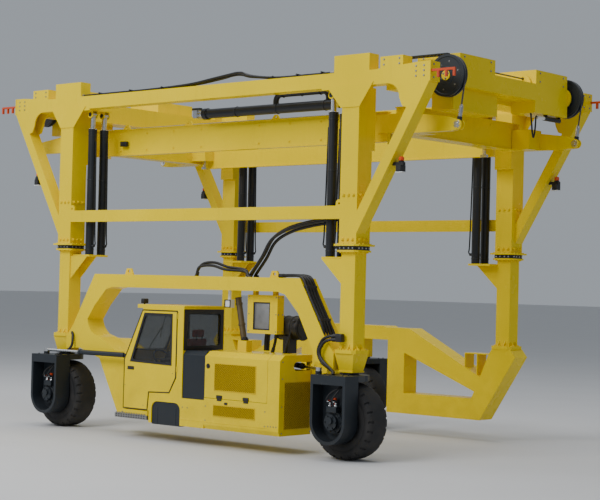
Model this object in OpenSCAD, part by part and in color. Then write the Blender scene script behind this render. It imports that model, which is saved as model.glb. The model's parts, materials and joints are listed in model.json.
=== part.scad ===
// Straddle carrier for 20 ft containers, three steered wheels.
// +X is forward, +Y is the cab side, +Z is up. The ground is z = 0 and the
// machine is centred over the origin. Millimetres.

/* [Running gear] */
// Distance between the front and rear wheels
wheelbase = 5812; // [5400:10:6200]
// Distance between the left and right columns
track = 3748; // [3600:10:3900]
// Tyre outer radius
tyre_r = 520; // [500:5:525]
// Tyre width
tyre_w = 400; // [360:5:405]
// Tyre seat radius on the rim
rim_r = 290; // [260:5:310]
// Radius of the stub axle
axle_r = 70; // [50:1:80]
// Radius of the steering kingpin
kingpin_r = 90; // [70:1:100]

/* [Fork] */
// Underside of the fork's top plate
fork_z = 1060; // [1055:1:1075]
// Thickness of the fork's top plate
fork_plate = 80; // [60:2:90]
// Length of the fork leg along the machine
fork_len = 600; // [520:10:600]
// Thickness of the fork leg across the machine
fork_leg = 275; // [240:5:275]
// Width of the flange round the recess in the fork leg
fork_flange = 45; // [30:1:60]

/* [Columns] */
// Width of a square mast tube
mast_w = 240; // [220:2:250]
// Width of a square sleeve tube
sleeve_w = 296; // [290:2:310]
// Wall of the masts and sleeves
tube_wall = 12; // [8:1:14]
// Height of the bolted flange at a mast's foot
foot_z = 1450; // [1430:5:1470]
// Height of the stop plate that the sleeve rests on
stop_z = 2810; // [2700:10:2830]
// Height of the mast's top, inside the sleeve
mast_top = 4900; // [4700:10:4930]

/* [Side frames] */
// Underside of the top rail
rail_z = 5010; // [5000:5:5030]
// Height of the top rail
rail_h = 200; // [160:5:220]
// Half length of the top rail
rail_x = 4200; // [4150:10:4260]
// Width of the rails and raking braces across the machine
rail_w = 200; // [160:5:200]
// Underside of the middle rail
mid_z = 3230; // [3150:10:3300]
// Height of the middle rail
mid_h = 180; // [140:5:200]
// Width of the middle rail across the machine
mid_w = 80; // [60:2:84]

/* [Cab and power pack] */
// Outer face of the cab and the power pack
side_y = 2360; // [2350:5:2400]
// Inner face of the cab
cab_in = 1520; // [1500:5:1540]
// Underside of the cab's roof
roof_z = 1930; // [1920:5:1960]
// Floor of the cab, on top of the low chassis
floor_z = 660; // [640:5:680]
// Underside of the low chassis
belly_z = 260; // [240:5:300]
// Thickness of cab walls and doors
panel = 40; // [30:1:45]
// Thickness of the power pack's panels
sheet = 20; // [10:1:25]
// Rear face of the power pack
pack_x = -2055; // [-2080:5:-2030]
// Top of the power pack
pack_z = 1360; // [1340:5:1370]

/* [Hoist] */
// Radius of the rope sheaves
sheave_r = 283; // [260:1:290]
// Rope radius
rope_r = 11; // [8:1:13]
// Height of the sheave centres
sheave_z = 5135; // [5120:1:5145]
// Radius of the hoist cylinder
hoist_r = 72; // [60:1:80]
// Radius of the hoist cylinder's rod
hoist_rod_r = 45; // [36:1:52]

/* [Cylinders] */
// Radius of the lift cylinders' barrels
lift_r = 66; // [50:1:66]
// Radius of the lift cylinders' rods
lift_rod_r = 40; // [30:1:44]
// Radius of the steering cylinders' barrels
steer_r = 38; // [30:1:40]
// Radius of the steering cylinders' rods
steer_rod_r = 22; // [16:1:24]

/* [Hidden] */
$fn = 48;

yellow = "gold";
dark = "darkslategray";

// Clearance of seated faces, and of round parts that turn or slide
seat = 0.3;
run = 0.05;
// Clearance round a door
door_gap = 5;

col_x = wheelbase / 2;
col_y = track / 2;
fork_top = fork_z + fork_plate;
thrust_h = 30;
kingpin_len = 200;
house_z = fork_top + thrust_h;

// Bolted plates: thickness, and half sides at the foot, mast ring and sleeve ring
ring_t = 25;
foot_half = 183;
mast_ring = 185;
sleeve_ring = 218;
corner_cut = 45;
pad_h = 55;
sleeve_z = stop_z + pad_h;

// Side frames across the machine
rail_y1 = col_y + sleeve_w / 2;
rail_y0 = rail_y1 - rail_w;
rail_top = rail_z + rail_h;

// Places along X of the two ends, as signs
ends = [-1, 1];

// A flat plate cut to an outline in the XZ plane, from y0 to y1
module plate_xz(outline, y0, y1) {
    translate([0, y1, 0]) rotate([90, 0, 0]) linear_extrude(y1 - y0) polygon(outline);
}

// A flat plate cut to an outline in the YZ plane, from x0 to x1
module plate_yz(outline, x0, x1) {
    translate([x0, 0, 0]) rotate([90, 0, 90]) linear_extrude(x1 - x0) polygon(outline);
}

// A block between two corners
module block(low, high) {
    translate(low) cube(high - low);
}

// A round bar along X, Y or Z from a start point
module bar_x(p, len, r) {
    translate(p) rotate([0, 90, 0]) cylinder(h = len, r = r);
}
module bar_y(p, len, r) {
    translate(p) rotate([-90, 0, 0]) cylinder(h = len, r = r);
}
module bar_z(p, len, r) {
    translate(p) cylinder(h = len, r = r);
}

// A round bar between two points
module rod_between(p, q, r) {
    d = q - p;
    len = norm(d);
    translate(p) rotate([0, acos(d[2] / len), atan2(d[1], d[0])]) cylinder(h = len, r = r);
}

// Points of an arc in a plane, from angle a0 to a1
function arc(centre, r, a0, a1, steps) = [for (i = [0 : steps])
    let (a = a0 + (a1 - a0) * i / steps) centre + r * [cos(a), sin(a)]];

// Places its children at both ends, mirrored in X
module both_ends() {
    children();
    mirror([1, 0, 0]) children();
}

// Places its children on both sides, mirrored in Y
module both_sides() {
    children();
    mirror([0, 1, 0]) children();
}

// Mirrors its children to the right-hand side
module to_right() {
    mirror([0, 1, 0]) children();
}

// A square plate with its corners cut, between two heights
module flange(half, z0, z1) {
    in = half - corner_cut;
    translate([0, 0, z0]) linear_extrude(z1 - z0) polygon([[half, -in], [half, in], [in, half],
        [-in, half], [-half, in], [-half, -in], [-in, -half], [in, -half]]);
}

// Low gussets on the four faces of a square tube: upright from z to z + h
module foot_gussets(half, reach, z, h) {
    for (a = [0 : 90 : 270]) rotate(a) for (y = [-60, 48])
        plate_xz([[half - 1, z], [reach, z], [half, z + h], [half - 1, z + h]], y, y + 12);
}

/* Frames that stand on the wheels */

arch_top = 2420;
arch_low = 2225;
arch_y0 = col_y - 150;
arch_y1 = col_y + 181;
house_half = 165;
house_low = 115;
house_foot = 20;

// Knuckle housing under a mast's foot, with the kingpin's blind bore
module knuckle_housing() {
    top = foot_z - ring_t;
    flare = [[-house_low, house_z + house_foot], [house_low, house_z + house_foot],
        [house_half, top + 1], [-house_half, top + 1]];
    difference() {
        union() {
            flange(foot_half, top, foot_z);
            intersection() {
                plate_xz(flare, -house_half, house_half);
                plate_yz(flare, -house_half, house_half);
            }
            block([-house_low - 10, -house_low - 10, house_z],
                [house_low + 10, house_low + 10, house_z + house_foot + 1]);
        }
        kingpin_bore();
    }
}

module kingpin_bore() {
    bar_z([0, 0, house_z - 1], kingpin_len + 4, kingpin_r + run);
}

// Lifting eyes on the arch: places along X, plate face, thickness, hole
eye_x = [-1500, 1500];
eye_y = col_y + 3;
eye_t = 25;
eye_r = 25;
eye_up = 50;

// Low chassis beam inside the cab and the power pack
chassis_top = floor_z - seat;
chassis_low = belly_z + 40;
chassis_y0 = 1400;
chassis_y1 = col_y - 184;
rake_x = col_x - 576;
rake_low_x = col_x - 946;

// Outline of the arch: flat top, shoulders, raked legs, and a front foot that
// reaches back under the leg to the cab
arch_outline = concat(
    [[col_x - 796, arch_top], [col_x - 316, 1610], [col_x - house_half, foot_z - ring_t],
        [col_x - house_half, 1240], [col_x - 496, 1262], [col_x - 1322, 1247],
        [col_x - 971, 1446]],
    arc([col_x - 971, 1771], 325, -60, -10, 5),
    [[col_x - 816, 1940], [col_x - 1066, 2190], [col_x - 1206, arch_low],
        [1206 - col_x, arch_low], [1066 - col_x, 2190], [816 - col_x, 1940],
        [546 - col_x, 1450], [496 - col_x, 1310], [house_half - col_x, 1200],
        [house_half - col_x, foot_z - ring_t], [316 - col_x, 1610], [796 - col_x, arch_top]]);

// Bulkhead in front of the cab: rear face, top, and outline down to its raked front edge
bulk_x = 1090;
bulk_top = 1255;
bulkhead_outline = [[bulk_x, chassis_low], [1502, chassis_low], [1953, 1121], [2411, 1262],
    [2411, 1420], [1935, 1430], [1584, bulk_top], [bulk_x, bulk_top]];

// Outline of the chassis beam: raked rear end, and a front as tall as the bulkhead
beam_outline = [[-rake_x, 1420], [-rake_x, 1150], [-rake_low_x, chassis_low],
    [1502, chassis_low], [1953, 1121], [rake_x, 1250], [rake_x, 1420], [1935, 1420],
    [1584, bulk_top], [bulk_x, bulk_top], [bulk_x, chassis_top],
    [160 - rake_low_x, chassis_top], [130 - rake_x, 1420]];

module left_frame() {
    color(yellow) {
        for (s = ends) translate([s * col_x, col_y, 0]) knuckle_housing();
        plate_xz(arch_outline, arch_y0, arch_y1);
        plate_xz(beam_outline, chassis_y0, chassis_y1);
        // ties between the beam's ends and the arch
        both_ends() block([rake_x - 130, chassis_y0, 1262], [col_x - 306, arch_y0 + 1, 1420]);
        plate_xz(bulkhead_outline, chassis_y1 - 1, arch_y1);
        front_clevis();
        rear_clevis();
        // lifting eyes
        for (x = eye_x) difference() {
            plate_xz([[x - 90, arch_top - 1], [x + 90, arch_top - 1],
                [x + 50, arch_top + 95], [x - 50, arch_top + 95]], eye_y, eye_y + eye_t);
            bar_y([x, eye_y - 1, arch_top + eye_up], eye_t + 2, eye_r);
        }
    }
}

// Clevis of the front steering cylinder on the bulkhead's outer face
module front_clevis() {
    steer_clevis(front_base);
    for (z = clevis_z)
        block([front_base[0] - 45, arch_y1 - 1, z], [front_base[0] + 45, front_base[1], z + ear_t]);
}

// Clevis of the rear steering cylinder on a bracket that stands on the chassis beam
module rear_clevis() {
    steer_clevis(rear_base);
    for (z = clevis_z)
        block([rear_base[0] + 20, rear_base[1] - 45, z], [rear_base[0] + 130, rear_base[1] + 45, z + ear_t]);
    block([rear_base[0] + 110, rear_base[1] - 45, chassis_top - 1],
        [rear_base[0] + 130, rear_base[1] + 45, clevis_z[1] + ear_t]);
}

right_y0 = -col_y - 170;
right_y1 = -col_y + 170;
post_in = 750;
post_out = 1085;
right_low = 320;
right_beam = 645;

// Right frame: posts and an arch over the wheel, braces and low beams to the columns
module right_frame() {
    end_x = col_x + 268;
    color(yellow) {
        difference() {
            translate([0, -col_y, 0]) block([-170, -170, house_z], [170, 170, 1481]);
            translate([0, -col_y, 0]) kingpin_bore();
        }
        plate_xz([[-1170, 1675], [-700, 1675], [-640, 1700], [640, 1700], [700, 1675],
            [1170, 1675], [col_x - 676, 1136], [col_x - 321, 962], [col_x - 321, 700],
            [col_x - 516, 775], [post_out, 1285], [post_out, right_beam - 1],
            [post_in, right_beam - 1], [post_in, 1480], [-post_in, 1480],
            [-post_in, right_beam - 1], [-post_out, right_beam - 1], [-post_out, 1285],
            [516 - col_x, 775], [321 - col_x, 700], [321 - col_x, 962],
            [676 - col_x, 1136]], right_y0, right_y1);
        both_ends() {
            // low beam and raked leg
            plate_xz([[post_in, right_low], [col_x - 356, right_low], [end_x, 1310],
                [col_x + 174, foot_z - ring_t + 1], [col_x - 150, foot_z - ring_t + 1],
                [col_x - 206, 1340], [col_x - 512, right_beam], [post_in, right_beam]],
                right_y0, right_y1);
            translate([col_x, -col_y, 0]) flange(foot_half, foot_z - ring_t, foot_z);
            // shelf in the corner above the brace
            block([col_x - 666, right_y1 - 260, 1330], [col_x - 190, right_y1 - 20, 1345]);
            for (x = [col_x - 666, col_x - 440])
                block([x, right_y1 - 260, 900], [x + 15, right_y1 - 20, 1331]);
        }
        // clevis of the steering cylinder
        steer_clevis(right_base);
        for (z = clevis_z)
            block([right_base[0] - 10, right_base[1], z], [right_base[0] + 50, right_y0 + 1, z + ear_t]);
    }
}

// A mast tube with its foot flange, gussets and ring plate
module mast() {
    difference() {
        union() {
            block([-mast_w / 2, -mast_w / 2, foot_z], [mast_w / 2, mast_w / 2, mast_top]);
            flange(foot_half, foot_z, foot_z + ring_t);
            flange(mast_ring, stop_z - ring_t, stop_z);
            foot_gussets(mast_w / 2, foot_half - 8, foot_z + ring_t - 1, 75);
        }
        block([tube_wall - mast_w / 2, tube_wall - mast_w / 2, foot_z + ring_t],
            [mast_w / 2 - tube_wall, mast_w / 2 - tube_wall, mast_top + 1]);
    }
}

// Lift cylinders: distance inwards from a column along X, and places across it
lift_dx = 430;
lift_dy = [-254, -14];
bracket_z = stop_z - 90;
bracket_t = 30;

module masts() {
    color(yellow) both_ends() both_sides() translate([col_x, col_y, 0]) {
        mast();
        // bracket under the lift cylinders, with two gussets
        block([-lift_dx - lift_r - 20, lift_dy[0] - lift_r - 5, bracket_z - bracket_t],
            [1 - mast_w / 2, lift_dy[1] + lift_r + 15, bracket_z]);
        for (y = [-110, mast_w / 2 - 40]) plate_xz([[1 - mast_w / 2, bracket_z - 380],
            [1 - mast_w / 2, bracket_z - bracket_t + 1], [-lift_dx - lift_r, bracket_z - bracket_t + 1]],
            y, y + 15);
    }
}

module stop_pads() {
    hole = mast_w / 2 + seat;
    color("black") both_ends() both_sides() translate([col_x, col_y, 0]) difference() {
        flange(mast_ring - 15, stop_z + seat, sleeve_z - seat);
        block([-hole, -hole, stop_z - 1], [hole, hole, sleeve_z + 1]);
    }
}

barrel_top = mast_top - 200;
gland_h = 60;
gland_lip = 4;

// Places its children at each of the eight lift cylinders
module at_lift_cylinders() {
    both_ends() both_sides() for (dy = lift_dy) translate([col_x - lift_dx, col_y + dy, 0]) children();
}

module lift_barrels() {
    foot = bracket_z + seat;
    color(dark) at_lift_cylinders() difference() {
        union() {
            bar_z([0, 0, foot], barrel_top - foot, lift_r);
            bar_z([0, 0, barrel_top - gland_h], gland_h, lift_r + gland_lip);
        }
        bar_z([0, 0, foot + 100], barrel_top - foot, lift_rod_r + run);
    }
}

// Upper eyes of the lift cylinders
lift_eye_z = rail_z - 80;
lift_eye_r = 45;
lift_eye_w = 2 * lift_rod_r + 8;
pin_r = 20;

module lift_rods() {
    color("silver") at_lift_cylinders() difference() {
        union() {
            bar_z([0, 0, bracket_z + 200], lift_eye_z - bracket_z - 200, lift_rod_r);
            bar_y([0, -lift_eye_w / 2, lift_eye_z], lift_eye_w, lift_eye_r);
        }
        bar_y([0, -lift_eye_w, lift_eye_z], 2 * lift_eye_w, pin_r + run);
    }
}

/* Upper frame, which slides up on the masts */

// Two ears with a pin along Y between them, hung from a plate at the height top
module hanging_ears(z, width, top) {
    ear = 16;
    for (y = [-width / 2 - ear - 2, width / 2 + 2]) {
        bar_y([0, y, z], ear, lift_eye_r + 8);
        block([-lift_eye_r, y, z], [lift_eye_r, y + ear, top]);
    }
    bar_y([0, -width / 2 - ear - 2, z], width + 2 * ear + 4, pin_r);
}

cavity = sleeve_w / 2 - tube_wall;
cavity_top = rail_z + 30;
pad_rows = [sleeve_z + 60, mid_z + 290];
boss_r = 22;

// Outside of a sleeve: tube, deeper head, ring plate, rows of wear-pad bosses
module sleeve_outside() {
    block([-sleeve_w / 2, -sleeve_w / 2, sleeve_z], [sleeve_w / 2, sleeve_w / 2, rail_z + 60]);
    block([-sleeve_w / 2, -sleeve_w / 2 - 60, 4160], [sleeve_w / 2, 0, rail_z + 1]);
    flange(sleeve_ring, sleeve_z, sleeve_z + ring_t);
    for (z = pad_rows) for (a = [0 : 90 : 270]) rotate(a) for (y = [-85, 0, 85])
        bar_x([sleeve_w / 2 - 1, y, z + 30], 15, boss_r);
}

// Wear pads inside a sleeve
module wear_pads() {
    for (z = pad_rows) for (a = [0 : 90 : 270]) rotate(a)
        block([mast_w / 2 + 1, -80, z - 20], [cavity + 1, 80, z + 80]);
}

brace_t = 150;
brace_foot = [col_x + sleeve_w / 2 - 4, sleeve_z + 165];
brace_head = [rail_x - 10, rail_z - 30];
brace_dir = (brace_head - brace_foot) / norm(brace_head - brace_foot);
brace_in = [-brace_dir[1], brace_dir[0]] * brace_t;

// Rails, braces and gussets of one side, without the sleeves' hollow
module side_frame_outside() {
    block([-rail_x, rail_y0, rail_z], [rail_x, rail_y1, rail_top]);
    both_ends() {
        translate([col_x, col_y, 0]) sleeve_outside();
        // gusset plate on the outside of the column's head
        plate_xz([[col_x - 166, rail_z - 280], [col_x + 154, rail_z - 280], [col_x + 384, rail_z + 40],
            [col_x - 436, rail_z + 40]], rail_y1 - 1, rail_y1 + 12);
        // raking brace
        plate_xz([brace_foot, brace_head, [rail_x, rail_z + 1], [rail_x - 160, rail_z + 1],
            brace_head + brace_in, brace_foot + brace_in, [col_x, sleeve_z + 240],
            [col_x, sleeve_z + 165]], rail_y0, rail_y1);
        // end gusset with a round cut-out
        for (y = [rail_y0, rail_y1 - 20])
            plate_xz(concat(arc([rail_x - 680, rail_z - 200], 200, 90, 0, 6),
                [[rail_x - 430, rail_z - 310], [rail_x - 300, rail_z - 355],
                [rail_x - 30, rail_z + 1], [rail_x - 680, rail_z + 1]]), y, y + 20);
        // deeper end of the top rail, and its end plate
        plate_xz([[col_x + 384, rail_top - 1], [rail_x - 160, rail_top + 50], [rail_x, rail_top + 50],
            [rail_x, rail_top - 1]], rail_y0, rail_y1);
        block([rail_x - 1, rail_y0 - 5, rail_z - 10], [rail_x + 20, rail_y1 + 5, rail_top + 50]);
        // bracket over the lift cylinders
        block([col_x - lift_dx - 90, col_y + lift_dy[0] - 75, rail_z - 25],
            [col_x - sleeve_w / 2 + 1, rail_y1, rail_z + 1]);
        for (dy = lift_dy) translate([col_x - lift_dx, col_y + dy, 0])
            hanging_ears(lift_eye_z, lift_eye_w, rail_z - 24);
        // boxes on the top rail
        block([col_x - 306, rail_y0, rail_top - 1], [col_x + 304, rail_y1, rail_top + 230]);
        block([rail_x - 807, rail_y0, rail_top - 1], [rail_x - 430, rail_y1, rail_top + 160]);
        // lug on the middle rail
        difference() {
            union() {
                bar_y([col_x - sleeve_w / 2 - 20, rail_y1 - 30, mid_z + mid_h + 30], 25, 55);
                block([col_x - sleeve_w / 2 - 75, rail_y1 - 30, mid_z + mid_h - 1],
                    [col_x - sleeve_w / 2 + 1, rail_y1 - 5, mid_z + mid_h + 30]);
            }
            bar_y([col_x - sleeve_w / 2 - 20, rail_y1 - 31, mid_z + mid_h + 30], 27, 16);
        }
    }
    // middle rail
    block([-col_x + sleeve_w / 2 - 1, rail_y1 - mid_w, mid_z],
        [col_x - sleeve_w / 2 + 1, rail_y1, mid_z + mid_h]);
}

module side_frame() {
    difference() {
        side_frame_outside();
        for (s = ends) translate([s * col_x, col_y, 0])
            block([-cavity, -cavity, sleeve_z - 1], [cavity, cavity, cavity_top]);
    }
    for (s = ends) translate([s * col_x, col_y, 0]) wear_pads();
}

module left_side_frame() {
    color(yellow) {
        side_frame();
        // ears that hold the hoist cylinder
        translate([hoist_eye_x, hoist_y, 0]) hanging_ears(hoist_z, hoist_eye_w, rail_z - 24);
        block([col_x * -1 + lift_dx + 89, hoist_y - 75, rail_z - 25],
            [hoist_eye_x + lift_eye_r, hoist_y + 75, rail_z - 1]);
    }
}

module right_side_frame() {
    color(yellow) to_right() side_frame();
}

// Cross girders: main beam, trough with the sheave boxes
girder_x0 = rail_x - 850;
girder_x1 = rail_x - 400;
girder_z = rail_z - 60;
girder_top = rail_z + 240;
box_top = rail_z + 440;
box_y = 1360;
box_in = 515;
sheave_x = rail_x - 100;
sheave_y = 1470;
sheave_w = 90;
shaft_r = 40;

module cross_girders() {
    end_y = rail_y0 - seat;
    color(yellow) both_ends() {
        block([girder_x0, -end_y, girder_z], [girder_x1, end_y, girder_top]);
        block([girder_x1 - 1, -box_y, rail_z], [rail_x, box_y, girder_top]);
        // sheave boxes on top, and the boxes under the trough
        for (t = ends) block([girder_x0 + 150, t > 0 ? box_in : 15 - box_y, girder_top - 1],
            [rail_x, t > 0 ? box_y - 15 : -box_in, box_top]);
        block([girder_x1 - 50, 300, rail_z - 300], [rail_x - 100, 1340, rail_z + 1]);
        block([girder_x1, -box_y, rail_z - 165], [rail_x, -500, rail_z + 1]);
        // half-round rope bracket beside the right box
        difference() {
            bar_y([rope_x, -500, girder_top], 25, 130);
            bar_y([rope_x, -501, rope_run_z], 27, rope_r + 12);
        }
        // sheave shafts with a hub plate inside and a cap outside
        both_sides() {
            bar_y([sheave_x, box_y - 1, sheave_z], sheave_y + sheave_w / 2 - box_y + 2, shaft_r);
            bar_y([sheave_x, box_y - 1, sheave_z], 30, 150);
            bar_y([sheave_x, sheave_y + sheave_w / 2 + seat, sheave_z], 12, 65);
        }
    }
}

groove_r = sheave_r - 19;
rope_track = groove_r + rope_r + seat;

module sheave(sx, sy) {
    h = sheave_w / 2;
    slot = rope_r + 5;
    color("black") translate([sx * sheave_x, sy * sheave_y, sheave_z]) rotate([90, 0, 0])
        rotate_extrude() polygon([[shaft_r + run, -h], [110, -h], [118, -h + 8], [groove_r - 22, -h + 8],
            [groove_r - 14, -h], [sheave_r, -h], [sheave_r, -slot], [groove_r, -slot],
            [groove_r, slot], [sheave_r, slot], [sheave_r, h], [groove_r - 14, h],
            [groove_r - 22, h - 8], [118, h - 8], [110, h], [shaft_r + run, h]]);
}

module sheave_front_left() sheave(1, 1);
module sheave_front_right() sheave(1, -1);
module sheave_rear_left() sheave(-1, 1);
module sheave_rear_right() sheave(-1, -1);

hook_y = rail_y1 - 26;
hook_z = rail_z + 110;

// Comb-shaped catch hooks at the ends of the top rails
module catch_hooks() {
    color("orangered") both_ends() both_sides() {
        block([rail_x + 20 + seat, hook_y - 15, hook_z], [rail_x + 390, hook_y + 15, hook_z + 30]);
        for (x = [110, 235, 360])
            block([rail_x + x, hook_y - 15, hook_z - 80], [rail_x + x + 30, hook_y + 15, hook_z + 1]);
    }
}

// Hoist cylinder under the left top rail
hoist_y = rail_y0 - 242;
hoist_z = rail_z - 160;
hoist_x0 = -2250;
hoist_x1 = 280;
hoist_eye_x = hoist_x0 - 70;
hoist_eye_w = 46;

module hoist_barrel() {
    color("slategray") {
        difference() {
            union() {
                bar_x([hoist_x0, hoist_y, hoist_z], hoist_x1 - hoist_x0, hoist_r);
                bar_x([hoist_x1 - 80, hoist_y, hoist_z], 80, hoist_r + 14);
                bar_y([hoist_eye_x, hoist_y - hoist_eye_w / 2, hoist_z], hoist_eye_w, lift_eye_r);
                block([hoist_eye_x, hoist_y - hoist_eye_w / 2, hoist_z - 40],
                    [hoist_x0 + 1, hoist_y + hoist_eye_w / 2, hoist_z + 40]);
            }
            bar_x([hoist_x0 + 100, hoist_y, hoist_z], hoist_x1 - hoist_x0, hoist_rod_r + run);
            bar_y([hoist_eye_x, hoist_y - hoist_eye_w, hoist_z], 2 * hoist_eye_w, pin_r + run);
        }
        oil_pipe();
    }
}

pipe_r = 42;
pipe_bend = 95;
pipe_z = hoist_z + 200;
pipe_x0 = hoist_x0 + 200;
pipe_x1 = -1250;

// Thick oil pipe that runs above the hoist cylinder and bends down into it
module oil_pipe() {
    for (x = [pipe_x0, pipe_x1]) {
        s = x == pipe_x0 ? -1 : 1;
        translate([x, hoist_y, pipe_z - pipe_bend]) rotate([90, 0, 0]) mirror([s < 0 ? 1 : 0, 0, 0])
            rotate_extrude(angle = 90) translate([pipe_bend, 0]) circle(r = pipe_r);
        bar_z([x + s * pipe_bend, hoist_y, hoist_z + 50], pipe_z - pipe_bend - hoist_z - 50, pipe_r);
    }
    bar_x([pipe_x0, hoist_y, pipe_z], pipe_x1 - pipe_x0, pipe_r);
}

// Room behind the rod inside the barrel
rod_room = 180;
rod_len = hoist_x1 - hoist_x0 - rod_room;

module hoist_rod() {
    head = hoist_x1 + 99;
    color("silver") {
        bar_x([head + 1 - rod_len, hoist_y, hoist_z], rod_len, hoist_rod_r);
        block([head, hoist_y - 85, hoist_z - 60], [head + 80, hoist_y + 70, hoist_z + 60]);
    }
}

// Ropes: where a rope leaves its sheave, and the lug pin on the spreader
rope_drop_x = sheave_x + rope_track;
rope_fixed_z = sheave_z - 60;
lug_x = rail_x + 90;
lug_z = rail_z - 530;
rope_foot_z = lug_z + 220;
rope_x = rail_x - 200;
rope_run_z = girder_top + 80;

// A slanting bar on the line from the lug pin to the sheave, cut flat at two heights
module rope_line(r, z0, z1) {
    slope = (rope_drop_x - lug_x) / (rope_fixed_z - lug_z);
    past = rope_fixed_z + 30;
    intersection() {
        rod_between([lug_x, sheave_y, lug_z], [lug_x + slope * (past - lug_z), sheave_y, past], r);
        block([lug_x - 60, sheave_y - 30, z0], [rope_drop_x + 60, sheave_y + 30, z1]);
    }
}

module hoist_ropes() {
    color("gray") both_ends() both_sides() rope_line(rope_r, rope_foot_z + seat, rope_fixed_z);
}

// Ropes that do not move in length: over the sheaves, and across between the boxes
module rope_runs() {
    low = rope_fixed_z + seat;
    start = guide_x + 80 + seat;
    across = box_in - seat;
    color("gray") both_ends() {
        bar_y([rope_x, -across, rope_run_z], 2 * across, rope_r);
        both_sides() {
            translate([sheave_x, sheave_y, sheave_z]) rotate([90, 0, 0])
                rotate_extrude(angle = 90) translate([rope_track, 0]) circle(r = rope_r, $fn = 16);
            bar_z([rope_drop_x, sheave_y, low], sheave_z - low, rope_r);
            bar_x([start, sheave_y, sheave_z + rope_track], sheave_x - start, rope_r);
        }
    }
}

// Dark guides that lead the ropes over the girder to the sheaves
guide_x = girder_x0 + 50;

module rope_guides() {
    top = sheave_z + rope_track + rope_r + 3;
    color(dark) both_ends() both_sides() {
        block([guide_x, sheave_y - 35, girder_top + seat], [guide_x + 80, sheave_y + 35, top + 12]);
        block([guide_x + 79, sheave_y - 35, top], [sheave_x, sheave_y + 35, top + 12]);
    }
}

// Hoses on the left top rail: height of the bundle above the rail at each X
hose_r = 18;
hose_end = col_x - 346;
hose_line = [[hose_end, 0], [1000, 0], [-300, 60], [-650, 120], [-1050, 50], [-1500, 0], [-hose_end, 0]];
hose_rows = [60, 102, 144];

module rail_hoses() {
    z = rail_top + hose_r + seat;
    color("black") for (dy = hose_rows) {
        y = rail_y0 + dy;
        for (i = [0 : len(hose_line) - 2]) {
            a = hose_line[i];
            b = hose_line[i + 1];
            rod_between([a[0], y, z + a[1]], [b[0], y, z + b[1]], hose_r);
            if (i > 0) translate([a[0], y, z + a[1]]) sphere(r = hose_r, $fn = 24);
        }
    }
}

// Beacons with a lamp below, on the outside of the raking braces
lamp_z = 3930;
lamp_face = brace_foot[0] + (lamp_z - brace_foot[1]) * brace_dir[0] / brace_dir[1];
lamp_y = rail_y1 - rail_w / 2;

module beacons() {
    color("orange") both_ends() both_sides()
        bar_z([lamp_face + 130, lamp_y, lamp_z + 40 + seat], 75, 38);
}

module brace_lamps() {
    color("black") both_ends() both_sides() {
        // bracket on the brace, plate under the beacon and lamp body
        plate_xz([[lamp_face + seat, lamp_z], [lamp_face + 175, lamp_z], [lamp_face + 175, lamp_z + 40],
            [lamp_face + seat + 40 * brace_dir[0] / brace_dir[1], lamp_z + 40]], lamp_y - 30, lamp_y + 30);
        block([lamp_face + 80, lamp_y - 55, lamp_z - 85], [lamp_face + 160, lamp_y + 55, lamp_z + 1]);
    }
}

/* Spreader */

beam_y0 = 1235;
beam_y1 = 1335;
beam_z0 = rail_z - 690;
beam_z1 = rail_z - 270;
end_z0 = beam_z0 + 80;
end_z1 = rail_z - 220;
lock_x = 2926.5;
lock_y = 1129.5;
lock_z = end_z0 + 40;
flange_t = 14;

module spreader() {
    color(yellow) both_ends() {
        both_sides() {
            // side beam with flanges
            block([-1, beam_y0 + 15, beam_z0], [2990, beam_y1 - 15, beam_z1]);
            for (z = [beam_z0, beam_z1 - flange_t]) block([-1, beam_y0, z], [2990, beam_y1, z + flange_t]);
            // triangular eyes on the side beam
            for (x = [900, 2300]) difference() {
                plate_xz([[x - 90, beam_z1 - 1], [x + 90, beam_z1 - 1], [x + 30, beam_z1 + 70],
                    [x - 30, beam_z1 + 70]], beam_y0 + 40, beam_y0 + 60);
                bar_y([x, beam_y0 + 39, beam_z1 + 35], 22, 16);
            }
            // corner block over the twistlock, and the arm out to the rope's lug
            block([2830, 1030, lock_z], [3160, beam_y1, end_z1 - 90]);
            block([3399, 1150, end_z0], [3700, sheave_y - 1, end_z1 - 100]);
            difference() {
                union() {
                    plate_xz([[3400, end_z0], [lug_x - 140, end_z0], [lug_x, lug_z - 68], [lug_x, lug_z + 68],
                        [lug_x - 140, lug_z + 110], [3400, end_z1 - 100]], sheave_y - 45, sheave_y + 45);
                    bar_y([lug_x, sheave_y - 45, lug_z], 90, 68);
                }
                // slot and hole for the rope's socket
                block([lug_x - 75, sheave_y - 22, lug_z - 75], [lug_x + 75, sheave_y + 22, lug_z + 120]);
                bar_y([lug_x, sheave_y - 46, lug_z], 92, pin_r + 4);
            }
            rope_socket();
        }
        // end beam with flanges
        block([3150, -beam_y1, end_z0 + 1], [3390, beam_y1, end_z1 - 1]);
        for (z = [end_z0, end_z1 - flange_t])
            block([3135, -beam_y1 - 10, z], [3405, beam_y1 + 10, z + flange_t]);
    }
}

// Pin, eye and socket at a rope's end
module rope_socket() {
    bar_y([lug_x, sheave_y - 48, lug_z], 96, pin_r + 4);
    bar_y([lug_x, sheave_y - 20, lug_z], 40, 40);
    rope_line(20, lug_z, rope_foot_z);
}

module twistlock(sx, sy) {
    color("silver") translate([sx * lock_x, sy * lock_y, 0]) {
        bar_z([0, 0, lock_z - 100], 100 - seat, 28);
        block([-52, -28, lock_z - 140], [52, 28, lock_z - 99]);
    }
}

module twistlock_front_left() twistlock(1, 1);
module twistlock_front_right() twistlock(1, -1);
module twistlock_rear_left() twistlock(-1, 1);
module twistlock_rear_right() twistlock(-1, -1);

/* Wheels and forks */

tyre_gap = 11;
fork_out = tyre_w / 2 + tyre_gap + fork_leg;

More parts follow.
